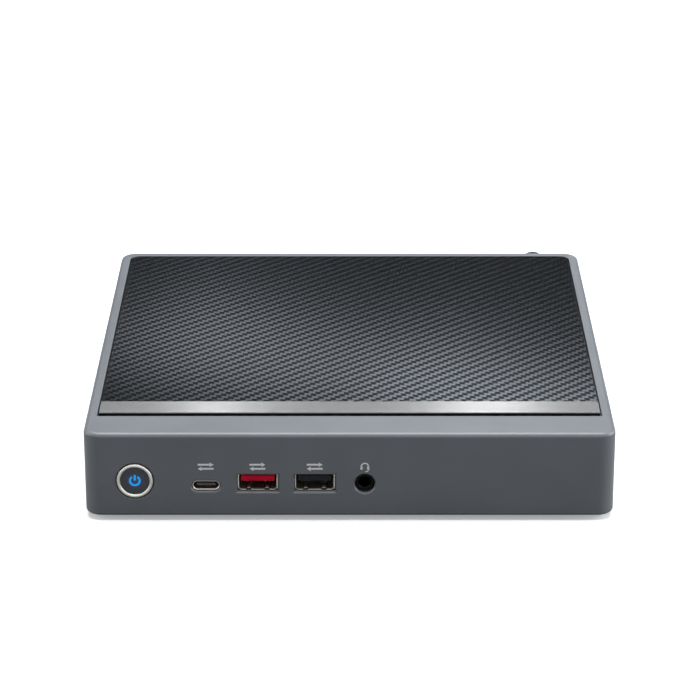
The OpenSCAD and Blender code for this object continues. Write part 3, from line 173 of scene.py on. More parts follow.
def cover_plastic(p):
    """Satin grey moulded shell: a faint fine grain breaks up the highlights on its edges."""
    material, t = new_material("satin_grey_plastic")
    plain = two_tone(t, pattern(t, 22, detail=1), *shades(p.cover, 0.05))
    # painted shade: in a thin layer at the panel's height, inside the recess under the panel, the cover
    # is painted near black for the shade in the gap round the panel
    low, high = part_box("top_panel")
    place = add(t, "ShaderNodeTexCoord", out="Object")
    x, y, z = add(t, "ShaderNodeSeparateXYZ", {0: place}).node.outputs
    off_middle = add(t, MATH, {0: x}, operation="ABSOLUTE")
    recess_shade = 1.0
    for value, test, limit in (
        (z, "LESS_THAN", low[2] + 0.9 * MM),
        (z, "GREATER_THAN", low[2] - 0.2 * MM),
        (y, "GREATER_THAN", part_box("trim_strip")[0][1] - 3 * MM),
        (off_middle, "LESS_THAN", high[0] + 0.7 * MM),
    ):
        inside = add(t, MATH, {0: value, 1: limit}, operation=test)
        recess_shade = add(t, MATH, {0: recess_shade, 1: inside}, operation="MULTIPLY")
    return surface(
        material,
        # the near-black colour of the painted shade in the recess
        Base_Color=add(t, MIX, {0: recess_shade, 6: plain, 7: linear("0d0d0e")}, **COLOURS),
        Specular_IOR_Level=0.5,
        **grained(t, pattern(t, 0.16, detail=2), (0.3, 0.4), relief_mm=0.012, edge_mm=0.18),
    )


# The weave of the panel, as measured along its two diagonals. Light bands run along one of
# them, and the edges of a band step to and fro once for each tow that crosses it.
STEP_PITCH_MM = 3.023
BAND_PITCH_MM = 5.026
# shares of the step pitch, at which the near and the far edge of a band step
EDGE_STEPS = (0.221, 0.576)
# shares of the band pitch: how wide a light band is, where it begins and how soft its edges are
BAND_WIDTH = 0.49
BAND_START = 0.067
BAND_BLUR = 0.03
# how far an edge steps, in band pitches for each step pitch
STEP_SLOPE = 0.81
# whole pitches that keep every count above zero
SURPLUS = 100.0


def woven_panel(p):
    """Twill weave under clear coat: stair-stepped light and dark bands, each with fine fibres."""
    material, t = new_material("woven_carbon_twill")
    place = add(t, "ShaderNodeTexCoord", out="Object")
    x, y, _ = add(t, "ShaderNodeSeparateXYZ", {0: place}).node.outputs
    diagonals = []
    for way, pitch_mm in (("ADD", STEP_PITCH_MM), ("SUBTRACT", BAND_PITCH_MM)):
        diagonal = add(t, MATH, {0: x, 1: y}, operation=way)
        diagonals.append(add(t, MATH, {0: diagonal, 1: pitch_mm * MM}, operation="DIVIDE"))
    along, across = diagonals
    edges = []
    for shift in EDGE_STEPS:
        edge = along
        # each step goes out over half a pitch and back over the other half, about its middle
        for way, number in (
            ("ADD", SURPLUS + shift), ("PINGPONG", 0.5), ("SUBTRACT", 0.25), ("MULTIPLY", STEP_SLOPE)
        ):
            edge = add(t, MATH, {0: edge, 1: number}, operation=way)
        edges.append(edge)
    near, far = edges
    phase = add(t, MATH, {0: across, 1: SURPLUS - BAND_START}, operation="ADD")
    phase = add(t, MATH, {0: phase, 1: near}, operation="SUBTRACT")
    phase = add(t, MATH, {0: phase}, operation="FRACT")
    width = add(t, MATH, {0: far, 1: near}, operation="SUBTRACT")
    width = add(t, MATH, {0: width, 1: BAND_WIDTH}, operation="ADD")
    from_far = add(t, MATH, {0: width, 1: phase}, operation="SUBTRACT")
    light = 1.0
    for inset in (phase, from_far):
        soft = add(t, MATH, {0: inset, 1: BAND_BLUR}, operation="DIVIDE", use_clamp=True)
        light = add(t, MATH, {0: light, 1: soft}, operation="MULTIPLY")
    # the fibres run along X in the dark tows and along Y in the light ones
    # painted highlight and shade: both tows are the same carbon, and the lit and the shaded look that
    # each gets from its fibre direction is painted in as two colours
    shaded_tow = two_tone(t, pattern(t, 0.12, stretch=(14, 1, 1)), *shades(p.shaded_tow, 0.17))
    lit_tow = two_tone(t, pattern(t, 0.12, stretch=(1, 14, 1)), *shades(p.lit_tow, 0.11))
    return surface(
        material,
        Base_Color=add(t, MIX, {0: light, 6: shaded_tow, 7: lit_tow}, **COLOURS),
        Metallic=1.0,
        Specular_Tint=(0.45, 0.45, 0.45, 1.0),
        Roughness=0.12,
        # the resin's faint bluish haze, which veils the weave at a flat angle
        Sheen_Weight=0.033,
        Sheen_Roughness=0.6,
        Sheen_Tint=(0.8, 0.9, 1.0, 1.0),
        Coat_Weight=0.1,
        Coat_Roughness=0.12,
        Coat_Normal=add(t, "ShaderNodeBevel", {"Radius": 0.15 * MM}, samples=4),
    )


def brushed_strip(p):
    """Brushed aluminium: fine lines along the strip draw each lamp out into a bright band."""
    material, t = new_material("brushed_aluminium")
    lines = pattern(t, 0.07, detail=4, stretch=(260, 1, 1))
    brushed = two_tone(t, lines, *shades(p.strip, 0.17))
    coarse = pattern(t, 0.5, detail=2, stretch=(60, 1, 1))
    return surface(
        material,
        # painted shade: the front edge is painted darker than the brushed face, to hold down the
        # highlight that its rounded edge would catch
        Base_Color=front_to_back(t, "trim_strip", 0.1, 0.5, linear("3c3c3d"), brushed),
        Metallic=1.0,
        Anisotropic=1.0,
        Tangent=add(t, "ShaderNodeCombineXYZ", {0: 0.0, 1: 1.0, 2: 0.0}),
        **grained(t, coarse, (0.22, 0.23), relief_mm=0.012, strength=0.3, ridges=lines),
    )


def sheet_metal(name, dark, pale, roughness=(0.28, 0.42), grain_mm=0.3):
    """Plated or rolled metal: directional grain and soft stains vary its sheen."""
    return grained_finish(
        name, (linear(dark), linear(pale)), tone_mm=9, grain_mm=grain_mm, stretch=(1, 8, 1),
        roughness=roughness, relief_mm=0.01, strength=0.3, edge_mm=0.08, Metallic=1.0,
    )


def drive_lid():
    """Bead-blasted aluminium case: an even matt silver with the finest of grain."""
    return grained_finish(
        "blasted_aluminium", (linear("898b8d"), linear("929496")), tone_mm=30, tone_detail=1,
        grain_mm=0.3, roughness=(0.42, 0.5), relief_mm=0.01, strength=0.3, edge_mm=0.2, Metallic=0.7,
    )


def powder_coat():
    """Black powder coat on steel: an orange-peel skin with soft sheen."""
    return grained_finish(
        "powder_coated_steel", (linear("303236"), linear("3a3c40")), tone_mm=0.2, tone_detail=1,
        grain_mm=0.7, roughness=(0.42, 0.6), relief_mm=0.04, edge_mm=0.12,
    )


def moulded(name, dark, pale, roughness=(0.45, 0.6), grain_mm=0.25, relief_mm=0.02, level=0.5):
    """Moulded plastic or rubber: a fine spark-eroded grain."""
    return grained_finish(
        name, (linear(dark), linear(pale)), tone_mm=6, tone_detail=2, grain_mm=grain_mm,
        roughness=roughness, relief_mm=relief_mm, edge_mm=0.06, Specular_IOR_Level=level,
    )


def satin_ring(p):
    """Satin chrome: an even, slightly warm sheen all round the button."""
    return grained_finish(
        "satin_chrome_ring", shades(p.ring, 0.055), tone_mm=0.12, tone_detail=2, grain_mm=0.12,
        grain_detail=2, roughness=(0.38, 0.44), relief_mm=0.006, strength=0.3, Metallic=0.85,
    )


def copper():
    """Bare copper: warm, with darker heat stains and drawing lines."""
    return grained_finish(
        "bare_copper", (linear("a8613c"), linear("d08a5e")), tone_mm=5, tone_detail=4, grain_mm=0.12,
        stretch=(1, 12, 1), roughness=(0.22, 0.38), relief_mm=0.01, strength=0.3, edge_mm=0.1,
        Metallic=1.0,
    )


def tongue_plastic(name, cad_node, tones):
    """A socket's tongue: matt, with painted shade that darkens it towards the back of the socket."""
    material, t = new_material(name)
    unshaded = two_tone(t, pattern(t, 6, detail=2), *tones)
    return surface(
        material,
        # painted shade: from 0.8 mm to 5 mm behind the tongue's front the colour turns near black, for
        # the shade deep in the socket
        Base_Color=front_to_back(t, cad_node, 0.8, 5, unshaded, linear("080707")),
        Specular_IOR_Level=0.2,
        **grained(t, pattern(t, 0.25), (0.5, 0.6), relief_mm=0.02, edge_mm=0.06),
    )


def button_gloss():
    """Smoked gloss cap: dark, with a painted blue glow round the lit mark."""
    material, t = new_material("smoked_gloss_plastic")
    low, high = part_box("power_icon")
    place = add(t, "ShaderNodeTexCoord", out="Object")
    ends = {0: place, 1: tuple((low + high) / 2)}
    away = add(t, "ShaderNodeVectorMath", ends, out="Value", operation="DISTANCE")
    # painted glow: the cap itself gives off a faint blue light, strongest near the mark and gone 4.6 mm
    # from its middle
    rings = {"From Min": 1.2 * MM, "From Max": 4.6 * MM, "To Min": 1.0, "To Max": 0.0}
    painted_glow = add(t, RANGE, {"Value": away, **rings})
    for way, number in (("POWER", 2.0), ("MULTIPLY", 0.07)):
        painted_glow = add(t, MATH, {0: painted_glow, 1: number}, operation=way)
    haze = pattern(t, 1.2, detail=2)
    return surface(
        material,
        Base_Color=two_tone(t, haze, linear("18191b"), linear("202124")),
        Coat_Weight=0.3,
        Coat_Roughness=0.2,
        Emission_Color=linear("0a86ff"),
        Emission_Strength=painted_glow,
        **grained(t, haze, (0.16, 0.24)),
    )


def light_guide(p):
    """Clear guide lit from behind: azure, a little uneven along its lines."""
    material, t = new_material("lit_blue_light_guide")
    return surface(
        material,
        Base_Color=linear("02284f"),
        Roughness=0.4,
        Emission_Color=two_tone(t, pattern(t, 0.5, detail=2), *shades(p.glow, 0.07)),
        Emission_Strength=0.94,
    )


def solder_mask(name, dark, pale, track="3d6b55"):
    """Laminate under solder mask: copper tracks show through as a faint grid of lines."""
    material, t = new_material(name)
    place = add(t, "ShaderNodeTexCoord", out="Object")
    # real tracks are too fine to show, so these lie about 0.6 mm apart, in cells of 3.2 mm
    cell_mm = 3.2
    cells = {"Vector": place, "Scale": 1 / (cell_mm * MM), "Randomness": 0.35}
    lines = add(t, "ShaderNodeTexVoronoi", cells, out="Distance", distance="CHEBYCHEV", feature="F1")
    for way, number in (("MULTIPLY", 5.0), ("PINGPONG", 0.5), ("GREATER_THAN", 0.33)):
        lines = add(t, MATH, {0: lines, 1: number}, operation=way)
    mask = pattern(t, 7, detail=4)
    ground = two_tone(t, mask, linear(dark), linear(pale))
    faint = add(t, MATH, {0: lines, 1: 0.35}, operation="MULTIPLY")
    return surface(
        material,
        Base_Color=add(t, MIX, {0: faint, 6: ground, 7: linear(track)}, **COLOURS),
        Coat_Weight=0.3,
        Coat_Roughness=0.15,
        **grained(t, mask, (0.28, 0.4), relief_mm=0.02, strength=0.4, ridges=lines),
    )


def ink(p):
    """Printed light grey ink, slightly uneven where it is thin."""
    material, t = new_material("printed_grey_ink")
    thin = pattern(t, 0.2, detail=2)
    return surface(material, Base_Color=two_tone(t, thin, *shades(p.ink, 0.03)), Roughness=0.5)


def pale_floor():
    """Plain pale floor: paper white to the eye and pale grey in metal, with a dim bounce."""
    material, t = new_material("pale_floor")
    paper = two_tone(t, pattern(t, 300, detail=1), linear("f4f4f5"), linear("f7f7f8"))
    rays = add(t, "ShaderNodeLightPath").node.outputs
    in_metal = {0: rays["Is Glossy Ray"], 1: rays["Is Transmission Ray"]}
    mirrored = add(t, MATH, in_metal, operation="MAXIMUM")
    bounced = add(t, MIX, {0: mirrored, 6: linear("5c5d5f"), 7: linear("a6a7a8")}, **COLOURS)
    colour = add(t, MIX, {0: rays["Is Camera Ray"], 6: bounced, 7: paper}, **COLOURS)
    diffuse = add(t, "ShaderNodeBsdfDiffuse", {"Color": colour})
    # away from the object the floor fades into the white surround
    place = add(t, "ShaderNodeTexCoord", out="Object")
    away = add(t, "ShaderNodeVectorMath", {0: place}, out="Value", operation="LENGTH")
    fade = {"From Min": 0.4, "From Max": 1.4, "To Min": 0.3, "To Max": 1.0}
    glow = add(t, RANGE, {"Value": away, **fade})
    glow = add(t, MATH, {0: rays["Is Camera Ray"], 1: glow}, operation="MULTIPLY")
    lift = add(t, "ShaderNodeEmission", {"Color": (1, 1, 1, 1), "Strength": glow})
    both = add(t, "ShaderNodeAddShader", {0: diffuse, 1: lift})
    add(t, "ShaderNodeOutputMaterial", {"Surface": both})
    return material


def flag_cloth():
    """Dark studio cloth: it keeps most of the panel's mirror dark, out of the camera's sight."""
    material, t = new_material("dark_flag_cloth")
    rays = add(t, "ShaderNodeLightPath").node.outputs
    cloth = add(t, "ShaderNodeEmission", {"Color": linear("262729"), "Strength": 1.0})
    clear = add(t, "ShaderNodeBsdfTransparent")
    seen = add(t, "ShaderNodeMixShader", {0: rays["Is Camera Ray"], 1: cloth, 2: clear})
    add(t, "ShaderNodeOutputMaterial", {"Surface": seen})
    return material


def all_materials(p):
    """Every material of the object by a short key, with the colours that p holds."""
    dark_tones = shades(linear("1c1d20"), 0.2)
    red_tones = shades(p.fast_tongue, 0.055)
    return {
        "cover": cover_plastic(p),
        "panel": woven_panel(p),
        "strip": brushed_strip(p),
        "ring": satin_ring(p),
        "steel": sheet_metal("rolled_bright_steel", "9b9ea1", "b7babd"),
        "shell": sheet_metal("nickel_plated_shell", "b6b0a7", "d2ccc3", (0.3, 0.42), 0.15),
        "zinc": sheet_metal("zinc_plated_steel", "8f9498", "b4b8bb", (0.3, 0.5), 0.6),
        "dark_nickel": sheet_metal("black_nickel_steel", "55585c", "6c6f73", (0.25, 0.4), 0.2),
        "brass": sheet_metal("machined_brass", "a8843c", "c9a558", (0.2, 0.35), 0.2),
        "gold": sheet_metal("gold_flash_contact", "c99a34", "e4bd5c", (0.18, 0.3), 0.2),
        "fins": sheet_metal("mill_finish_aluminium", "a9adb0", "c8cbcd", (0.3, 0.45), 0.2),
        "lid": drive_lid(),
        "copper": copper(),
        "coat": powder_coat(),
        "black": moulded("black_moulded_plastic", "151617", "1f2022"),
        "jack": moulded(
            "black_gloss_plastic", "050506", "090909", (0.12, 0.18), relief_mm=0.004, level=0.08
        ),
        "grey": moulded("grey_tongue_plastic", "525355", "616264"),
        "dark": tongue_plastic("dark_grey_tongue_plastic", "usb_tongue", dark_tones),
        "red": tongue_plastic("red_tongue_plastic", "fast_usb_tongue", red_tones),
        "blue": moulded("blue_tongue_plastic", "1d4fa8", "285fbd", (0.35, 0.5)),
        "cream": moulded("cream_nylon", "c9c5b6", "d8d5c8", (0.4, 0.55)),
        "rubber": moulded("black_rubber", "161617", "212122", (0.7, 0.85), 0.5, 0.05),
        "ferrite": moulded("grey_ferrite", "3c3e40", "4b4d50", (0.6, 0.8), 0.3, 0.05),
        "chip": moulded("epoxy_chip_case", "1b1c1d", "262728", (0.5, 0.65), 0.15),
        "tan": moulded("ceramic_chip_body", "8a6c48", "a58560", (0.4, 0.55), 0.2),
        "film": moulded("amber_polyimide_film", "9a6a1e", "b9842c", (0.25, 0.4), 0.5),
        "mark": ink(p),
        "gloss": button_gloss(),
        "guide": light_guide(p),
        "board": solder_mask("black_solder_mask", "101614", "18211e"),
        "green": solder_mask("green_solder_mask", "0f3a26", "164a31", "3f8a62"),
    }


# which finish each CAD node takes
NODE_FINISH = {
    "cover": ["cover_shell"],
    "panel": ["top_panel"],
    "strip": ["trim_strip"],
    "ring": ["button_ring"],
    "gloss": ["button_cap"],
    "guide": ["power_icon"],
    "coat": ["base_tray", "rear_panel"],
    "zinc": ["drive_bracket", "vesa_inserts", "rear_panel_screws", "drive_screws", "ssd_post"],
    "steel": ["board_screws", "cooler_screws", "coin_cell", "blower_lid"],
    "shell": [
        "usb_c_shell", "fast_usb_shell", "usb_shell", "hdmi_shell", "display_shell", "network_jack",
        "rear_usb_shells",
    ],
    "dark_nickel": ["thumbscrew", "screw_collar"],
    "brass": ["screw_insert", "board_standoffs"],
    "gold": ["dc_pin", "network_contacts"],
    "fins": ["fin_stack", "capacitors"],
    "lid": ["drive"],
    "copper": ["cold_plate", "heat_pipe", "blower_motor"],
    "jack": ["audio_jack"],
    "grey": ["usb_c_tongue"],
    "black": [
        "switch_plunger", "button_guide", "video_tongues", "memory_sockets", "ssd_socket",
        "cell_holder", "drive_socket", "blower_case", "blower_rotor", "dc_jack",
    ],
    "dark": ["usb_tongue"],
    "cream": ["power_switch"],
    "red": ["fast_usb_tongue"],
    "blue": ["rear_usb_tongues"],
    "rubber": ["rubber_feet"],
    "ferrite": ["chokes"],
    "film": ["wifi_antennas"],
    "board": ["mainboard", "wifi_card"],
    "green": ["memory_modules", "ssd_module", "processor"],
}


# ---------- meshes ----------


def new_object(name, mesh, material):
    mesh.materials.clear()
    mesh.materials.append(material)
    obj = bpy.data.objects.new(name, mesh)
    bpy.context.scene.collection.objects.link(obj)
    return obj


def from_bmesh(name, bm, material):
    """A flat-shaded mesh object, with its faces turned outwards."""
    bmesh.ops.recalc_face_normals(bm, faces=bm.faces)
    mesh = bpy.data.meshes.new(name)
    bm.to_mesh(mesh)
    bm.free()
    for polygon in mesh.polygons:
        polygon.use_smooth = False
    return new_object(name, mesh, material)


def add_prism(bm, outline, place, depth):
    """A closed prism: the outline in (u, v), put in space by place(u, v, w), w from 0 to depth."""
    rings = [[bm.verts.new(place(u, v, w)) for u, v in outline] for w in (0.0, depth)]
    bm.faces.new(rings[0][::-1])
    bm.faces.new(rings[1])
    for i in range(len(outline)):
        j = (i + 1) % len(outline)
        bm.faces.new((rings[0][i], rings[0][j], rings[1][j], rings[1][i]))


def half_circle(r, count):
    """Points along the upper half of a circle round the origin, from its right end."""
    angles = [math.radians(180 * i / count) for i in range(count + 1)]
    return [(r * math.cos(a), r * math.sin(a)) for a in angles]


def band(points, width):
    """The outline of a line of even width that runs through points."""
    left, right = [], []
    for i, p in enumerate(points):
        a, b = points[max(i - 1, 0)], points[min(i + 1, len(points) - 1)]
        dx, dy = b[0] - a[0], b[1] - a[1]
        d = math.hypot(dx, dy)
        nx, ny = -dy / d * width / 2, dx / d * width / 2
        left.append((p[0] + nx, p[1] + ny))
        right.append((p[0] - nx, p[1] - ny))
    return left + right[::-1]


def steps_from(corner, steps_mm):
    """Points that lie at steps in millimetres along X, Y and Z from a corner."""
    return [tuple(c + step * MM for c, step in zip(corner, steps)) for steps in steps_mm]


# ---------- Geometry Nodes ----------


class Maker:
    """A Geometry Nodes modifier built node by node, then turned into a plain mesh."""

    def __init__(self, name):
        self.tree = bpy.data.node_groups.new(name, "GeometryNodeTree")
        for way in ("OUTPUT", "INPUT"):
            self.tree.interface.new_socket("Geometry", in_out=way, socket_type="NodeSocketGeometry")
        self.entry = add(self.tree, "NodeGroupInput").node

    def value(self, name, kind, default):
        """A named input of the group, such as a count or a size."""
        socket = self.tree.interface.new_socket(name, in_out="INPUT", socket_type=kind)
        socket.default_value = default
        return self.entry.outputs[name]

    def finish(self, name, geometry, material, base=None):
        """Realizes the instances, sets the material and returns a plain mesh object."""
        real = add(self.tree, "GeometryNodeRealizeInstances", {0: geometry})
        painted = add(self.tree, "GeometryNodeSetMaterial", {"Geometry": real, "Material": material})
        add(self.tree, "NodeGroupOutput", {0: painted})
        holder = bpy.data.objects.new(name + "_maker", base or bpy.data.meshes.new(name + "_base"))
        bpy.context.scene.collection.objects.link(holder)
        holder.modifiers.new("make", "NODES").node_group = self.tree
        depsgraph = bpy.context.evaluated_depsgraph_get()
        mesh = bpy.data.meshes.new_from_object(holder.evaluated_get(depsgraph))
        bpy.data.objects.remove(holder)
        if not mesh.polygons:
            raise RuntimeError(name + " came out empty")
        return new_object(name, mesh, material)


def swept(m, curve, radius, sides):
    """A capped tube with a number of sides along a curve."""
    circle = {"Resolution": sides, "Radius": radius}
    profile = add(m.tree, "GeometryNodeCurvePrimitiveCircle", circle)
    parts = {"Curve": curve, "Profile Curve": profile, "Fill Caps": True}
    return add(m.tree, "GeometryNodeCurveToMesh", parts)


def repeat_on_line(name, count, start, step, size, material):
    """count small blocks of a size in metres, the first centred on start, each a step on."""
    m = Maker(name + "_row")
    n = m.value("Count", "NodeSocketInt", count)
    block = m.value("Block Size", "NodeSocketVector", size)
    row = {"Count": n, "Start Location": start, "Offset": step}
    line = add(m.tree, "GeometryNodeMeshLine", row, mode="OFFSET")
    cube = add(m.tree, "GeometryNodeMeshCube", {"Size": block})
    placed = add(m.tree, "GeometryNodeInstanceOnPoints", {"Points": line, "Instance": cube})
    return m.finish(name, placed, material)


def scatter_blocks(name, zones, z, count_per_m2, spacing, low, high, seed, material):
    """Small chip parts scattered over flat zones at height z, turned by quarter turns."""
    base = bpy.data.meshes.new(name + "_zones")
    verts, faces = [], []
    for x0, y0, x1, y1 in zones:
        n = len(verts)
        verts += [(x0, y0, z), (x1, y0, z), (x1, y1, z), (x0, y1, z)]
        faces.append((n, n + 1, n + 2, n + 3))
    base.from_pydata(verts, [], faces)
    m = Maker(name + "_scatter")
    density = m.value("Density", "NodeSocketFloat", count_per_m2)
    gap = m.value("Spacing", "NodeSocketFloat", spacing)
    number = m.value("Seed", "NodeSocketInt", seed)
    zone_faces = m.entry.outputs["Geometry"]
    spread = {"Mesh": zone_faces, "Distance Min": gap, "Density Max": density, "Seed": number}
    points = add(
        m.tree, "GeometryNodeDistributePointsOnFaces", spread, distribute_method="POISSON"
    )
    cube = add(m.tree, "GeometryNodeMeshCube", {"Size": (1, 1, 1)})
    # each block stands on its zone
    lifted = add(m.tree, "GeometryNodeTransform", {"Geometry": cube, "Translation": (0, 0, 0.5)})
    draw = "FunctionNodeRandomValue"
    size = add(m.tree, draw, {0: low, 1: high, "Seed": number}, data_type="FLOAT_VECTOR")
    # a draw of whole numbers has its limits in inputs 4 and 5
    quarters = add(m.tree, draw, {4: 0, 5: 3, "Seed": number}, out=2, data_type="INT")
    angle = add(m.tree, MATH, {0: quarters, 1: math.pi / 2}, operation="MULTIPLY")
    turn = add(m.tree, "ShaderNodeCombineXYZ", {2: angle})
    parts = {"Points": points, "Instance": lifted, "Rotation": turn, "Scale": size}
    placed = add(m.tree, "GeometryNodeInstanceOnPoints", parts)
    return m.finish(name, placed, material, base)


def tube_on_path(name, points, radius, material):
    """A round lead that follows points."""
    m = Maker(name + "_tube")
    thick = m.value("Radius", "NodeSocketFloat", radius)
    base = bpy.data.curves.new(name + "_path", "CURVE")
    base.dimensions = "3D"
    spline = base.splines.new("NURBS")
    spline.points.add(len(points) - 1)
    for p, q in zip(spline.points, points):
        p.co = (*q, 1)
    spline.use_endpoint_u = True
    spline.order_u = 3
    spline.resolution_u = 8
    tube = swept(m, m.entry.outputs["Geometry"], thick, sides=10)
    return m.finish(name, tube, material, base)


# ---------- the pieces ----------


def front_face(x, z):
    """Puts (u, v) of a printed mark on the front face, round (x, z), w going into the wall."""
    film = 0.03 * MM
    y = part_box("cover_shell")[0][1] - film
    return lambda u, v, w: (x + u, y + w, z + v)


def headset_outlines(w):
    """A headset: a band over two ear cups and a short microphone arm, w wide."""
    r, band_width, arm_width = 0.42 * w, 0.15 * w, 0.12 * w
    cup_w, cup_h = 0.26 * w, 0.42 * w
    shapes = [band(half_circle(r, 20), band_width)]
    for side in (-1, 1):
        x, z = side * (r - 0.15 * cup_w), -0.32 * cup_h
        corners = ((-0.5, -0.5), (0.5, -0.5), (0.5, 0.5), (-0.5, 0.5))
        shapes.append([(x + cup_w * u, z + cup_h * v) for u, v in corners])
    arm = [(r, -0.8 * cup_h), (0.75 * r, -0.56 * w), (0.1 * r, -0.62 * w)]
    return shapes + [band(arm, arm_width)]


def transfer_outlines(w):
    """Two opposed arrows, the general mark for data going both ways, w wide."""
    line, head, gap, end = 0.12 * w, 0.2 * w, 0.14 * w, w / 2
    # the line ends just inside the head
    neck, barb = end - 1.2 * head, end - 1.25 * head
    shaft = ((-end, -line / 2), (neck, -line / 2), (neck, line / 2), (-end, line / 2))
    tip = ((barb, -0.75 * head), (end, 0), (barb, 0.75 * head))
    return [
        [(way * u, way * (gap + v)) for u, v in shape] for way in (-1, 1) for shape in (shaft, tip)
    ]


def build_marks(p, materials):
    """The printed marks over the front sockets, one mesh on the cover."""
    bm = bmesh.new()
    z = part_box("cover_shell")[1][2] - p.mark_drop
    ink_depth = 0.05 * MM
    headset_share = 0.56
    arrows = transfer_outlines(p.mark_width)
    for node, outlines in (
        ("usb_c_shell", arrows),
        ("fast_usb_shell", arrows),
        ("usb_shell", arrows),
        ("audio_jack", headset_outlines(p.mark_width * headset_share)),
    ):
        low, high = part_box(node)
        for outline in outlines:
            add_prism(bm, outline, front_face((low[0] + high[0]) / 2, z), ink_depth)
    marks = from_bmesh("front_marks", bm, materials["mark"])
    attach(marks, "cover")


def build_contacts(materials):
    """Gold contact strips on the socket tongues, one row of blocks for each socket."""
    strip_height, sunk = 0.08 * MM, 0.01 * MM
    tongue_tip, setback = 2 * MM, 0.6
    for node, count, pitch, width, length in (
        ("fast_usb_tongue", 4, 2.3, 1.0, 7.4),
        ("usb_tongue", 4, 2.3, 1.0, 7.4),
        ("usb_c_tongue", 6, 0.9, 0.35, 3.0),
    ):
        low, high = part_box(node)
        x = (low[0] + high[0]) / 2 - (count - 1) * pitch * MM / 2
        # the tongue is the front part; its underside is read from its own vertices
        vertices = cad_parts[node].data.vertices
        z = min(v.co.z for v in vertices if v.co.y < low[1] + tongue_tip) - sunk
        row = repeat_on_line(
            node + "_contacts", count, (x, low[1] + (setback + length / 2) * MM, z),
            (pitch * MM, 0, 0), (width * MM, length * MM, strip_height), materials["gold"],
        )
        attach(row, "chassis")


def board_zones():
    """The free zones of the mainboard, each as its left, front, right and rear edge."""
    board_low, board_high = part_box("mainboard")
    wifi_low, wifi_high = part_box("wifi_card")
    memory_low, memory_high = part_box("memory_sockets")
    ssd_low, ssd_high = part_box("ssd_module")
    module_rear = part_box("memory_modules")[1][1]
    beside, memory_side, right_rim = 1 * MM, 3 * MM, board_high[0] - 12 * MM
    memory_left, memory_right = memory_low[0] + memory_side, memory_high[0] - memory_side
    zones = (
        # between the radio card and the storage socket
        (wifi_high[0] + beside, wifi_low[1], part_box("ssd_socket")[0][0] - beside, wifi_high[1]),
        # under the storage module
        (ssd_low[0] + 6 * MM, ssd_low[1] + beside, ssd_high[0] - 6 * MM, ssd_high[1] - beside),
        # under the front and the rear memory module
        (memory_left, memory_low[1] + 9 * MM, memory_right, module_rear - 44 * MM),
        (memory_left, memory_high[1] - 19 * MM, memory_right, module_rear - beside),
        # between the heat pipe and the memory
        (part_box("heat_pipe")[1][0] + beside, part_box("cell_holder")[1][1] + beside,
         memory_low[0] - memory_side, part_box("dc_jack")[0][1] - 9 * MM),
        # right of the headset socket
        (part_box("usb_shell")[1][0] + 13 * MM, board_low[1] + 1.5 * MM, right_rim, ssd_low[1] - 2 * MM),
        # ahead of the double data socket at the rear
        (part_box("network_jack")[1][0] + beside, module_rear + 9 * MM, right_rim,
         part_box("rear_usb_shells")[0][1] - beside),
    )
    return [zone for zone in zones if zone[2] > zone[0] and zone[3] > zone[1]]


def build_board_parts(p, materials):
    """Small resistors, capacitors and chips scattered over the free zones of the mainboard."""
    zones = board_zones()
    sunk = 0.02 * MM
    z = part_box("mainboard")[1][2] - sunk
    chip_share = 0.06
    tan = scatter_blocks(
        "board_ceramics", zones, z, p.part_density, 1.7 * MM,
        (0.5 * MM, 0.9 * MM, 0.45 * MM), (0.9 * MM, 1.7 * MM, 0.9 * MM), p.seed, materials["tan"],
    )
    chips = scatter_blocks(
        "board_chips", zones, z, p.part_density * chip_share, 7 * MM,
        (2.2 * MM, 2.2 * MM, 0.7 * MM), (4.2 * MM, 3.2 * MM, 1.1 * MM), p.seed + 1, materials["chip"],
    )
    for piece in (tan, chips):
        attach(piece, "chassis")


def build_thread(p, materials):
    """The thumbscrew's thread: a fine ridge wound round its shank."""
    low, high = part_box("thumbscrew")
    x, z = (low[0] + high[0]) / 2, (low[2] + high[2]) / 2
    start, end = low[1] + 0.3 * MM, low[1] + 4.2 * MM
    shank_r, ridge_r = 1.44 * MM, 0.09 * MM
    m = Maker("thread")
    turns = m.value("Turns", "NodeSocketFloat", float(int((end - start) / p.thread_pitch)))
    spiral = add(
        m.tree, "GeometryNodeCurveSpiral",
        {"Resolution": 24, "Rotations": turns, "Start Radius": shank_r, "End Radius": shank_r,
         "Height": end - start},
    )
    ridge = swept(m, spiral, ridge_r, sides=4)
    # the spiral rises along Z, and the shank lies along Y
    laid = {"Geometry": ridge, "Rotation": (-math.pi / 2, 0, 0), "Translation": (x, start, z)}
    turned = add(m.tree, "GeometryNodeTransform", laid)
    thread = m.finish("thumbscrew_thread", turned, materials["dark_nickel"])
    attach(thread, "screw")


def build_leads(materials):
    """The inner leads: one from the radio card to an antenna and one from the blower."""
    card_low, card_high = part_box("wifi_card")
    aerial_low, aerial_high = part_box("wifi_antennas")
    # out of the card, over its rear left corner and down on to the antenna
    radio = steps_from(
        (card_low[0], card_low[1], card_high[2]), ((4, 6, -0.2), (4, 6, 1.2), (0, 14, 0.6))
    )
    radio += steps_from((aerial_low[0], card_high[1], card_high[2]), ((4.4, 2, -1.6),))
    radio += steps_from((aerial_low[0], card_high[1], aerial_high[2]), ((1.7, 6, 0.8),))
    radio += steps_from((aerial_low[0], aerial_low[1], aerial_high[2]), ((1.7, 2, 0.3),))
    # out of the right side of the case, then forwards and down to the board
    low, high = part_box("blower_case")
    fan = steps_from(
        (high[0], low[1], low[2]), ((-6, 9, 2.4), (0.6, 8, 2), (4, 3, 1), (6, -3, 0.7), (7, -6, 0.6))
    )
    for name, points, radius, key in (
        ("antenna_lead", radio, 0.42 * MM, "black"),
        ("blower_lead", fan, 0.55 * MM, "dark"),
    ):
        lead = tube_on_path(name, points, radius, materials[key])
        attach(lead, "chassis")


# ---------- the stage ----------


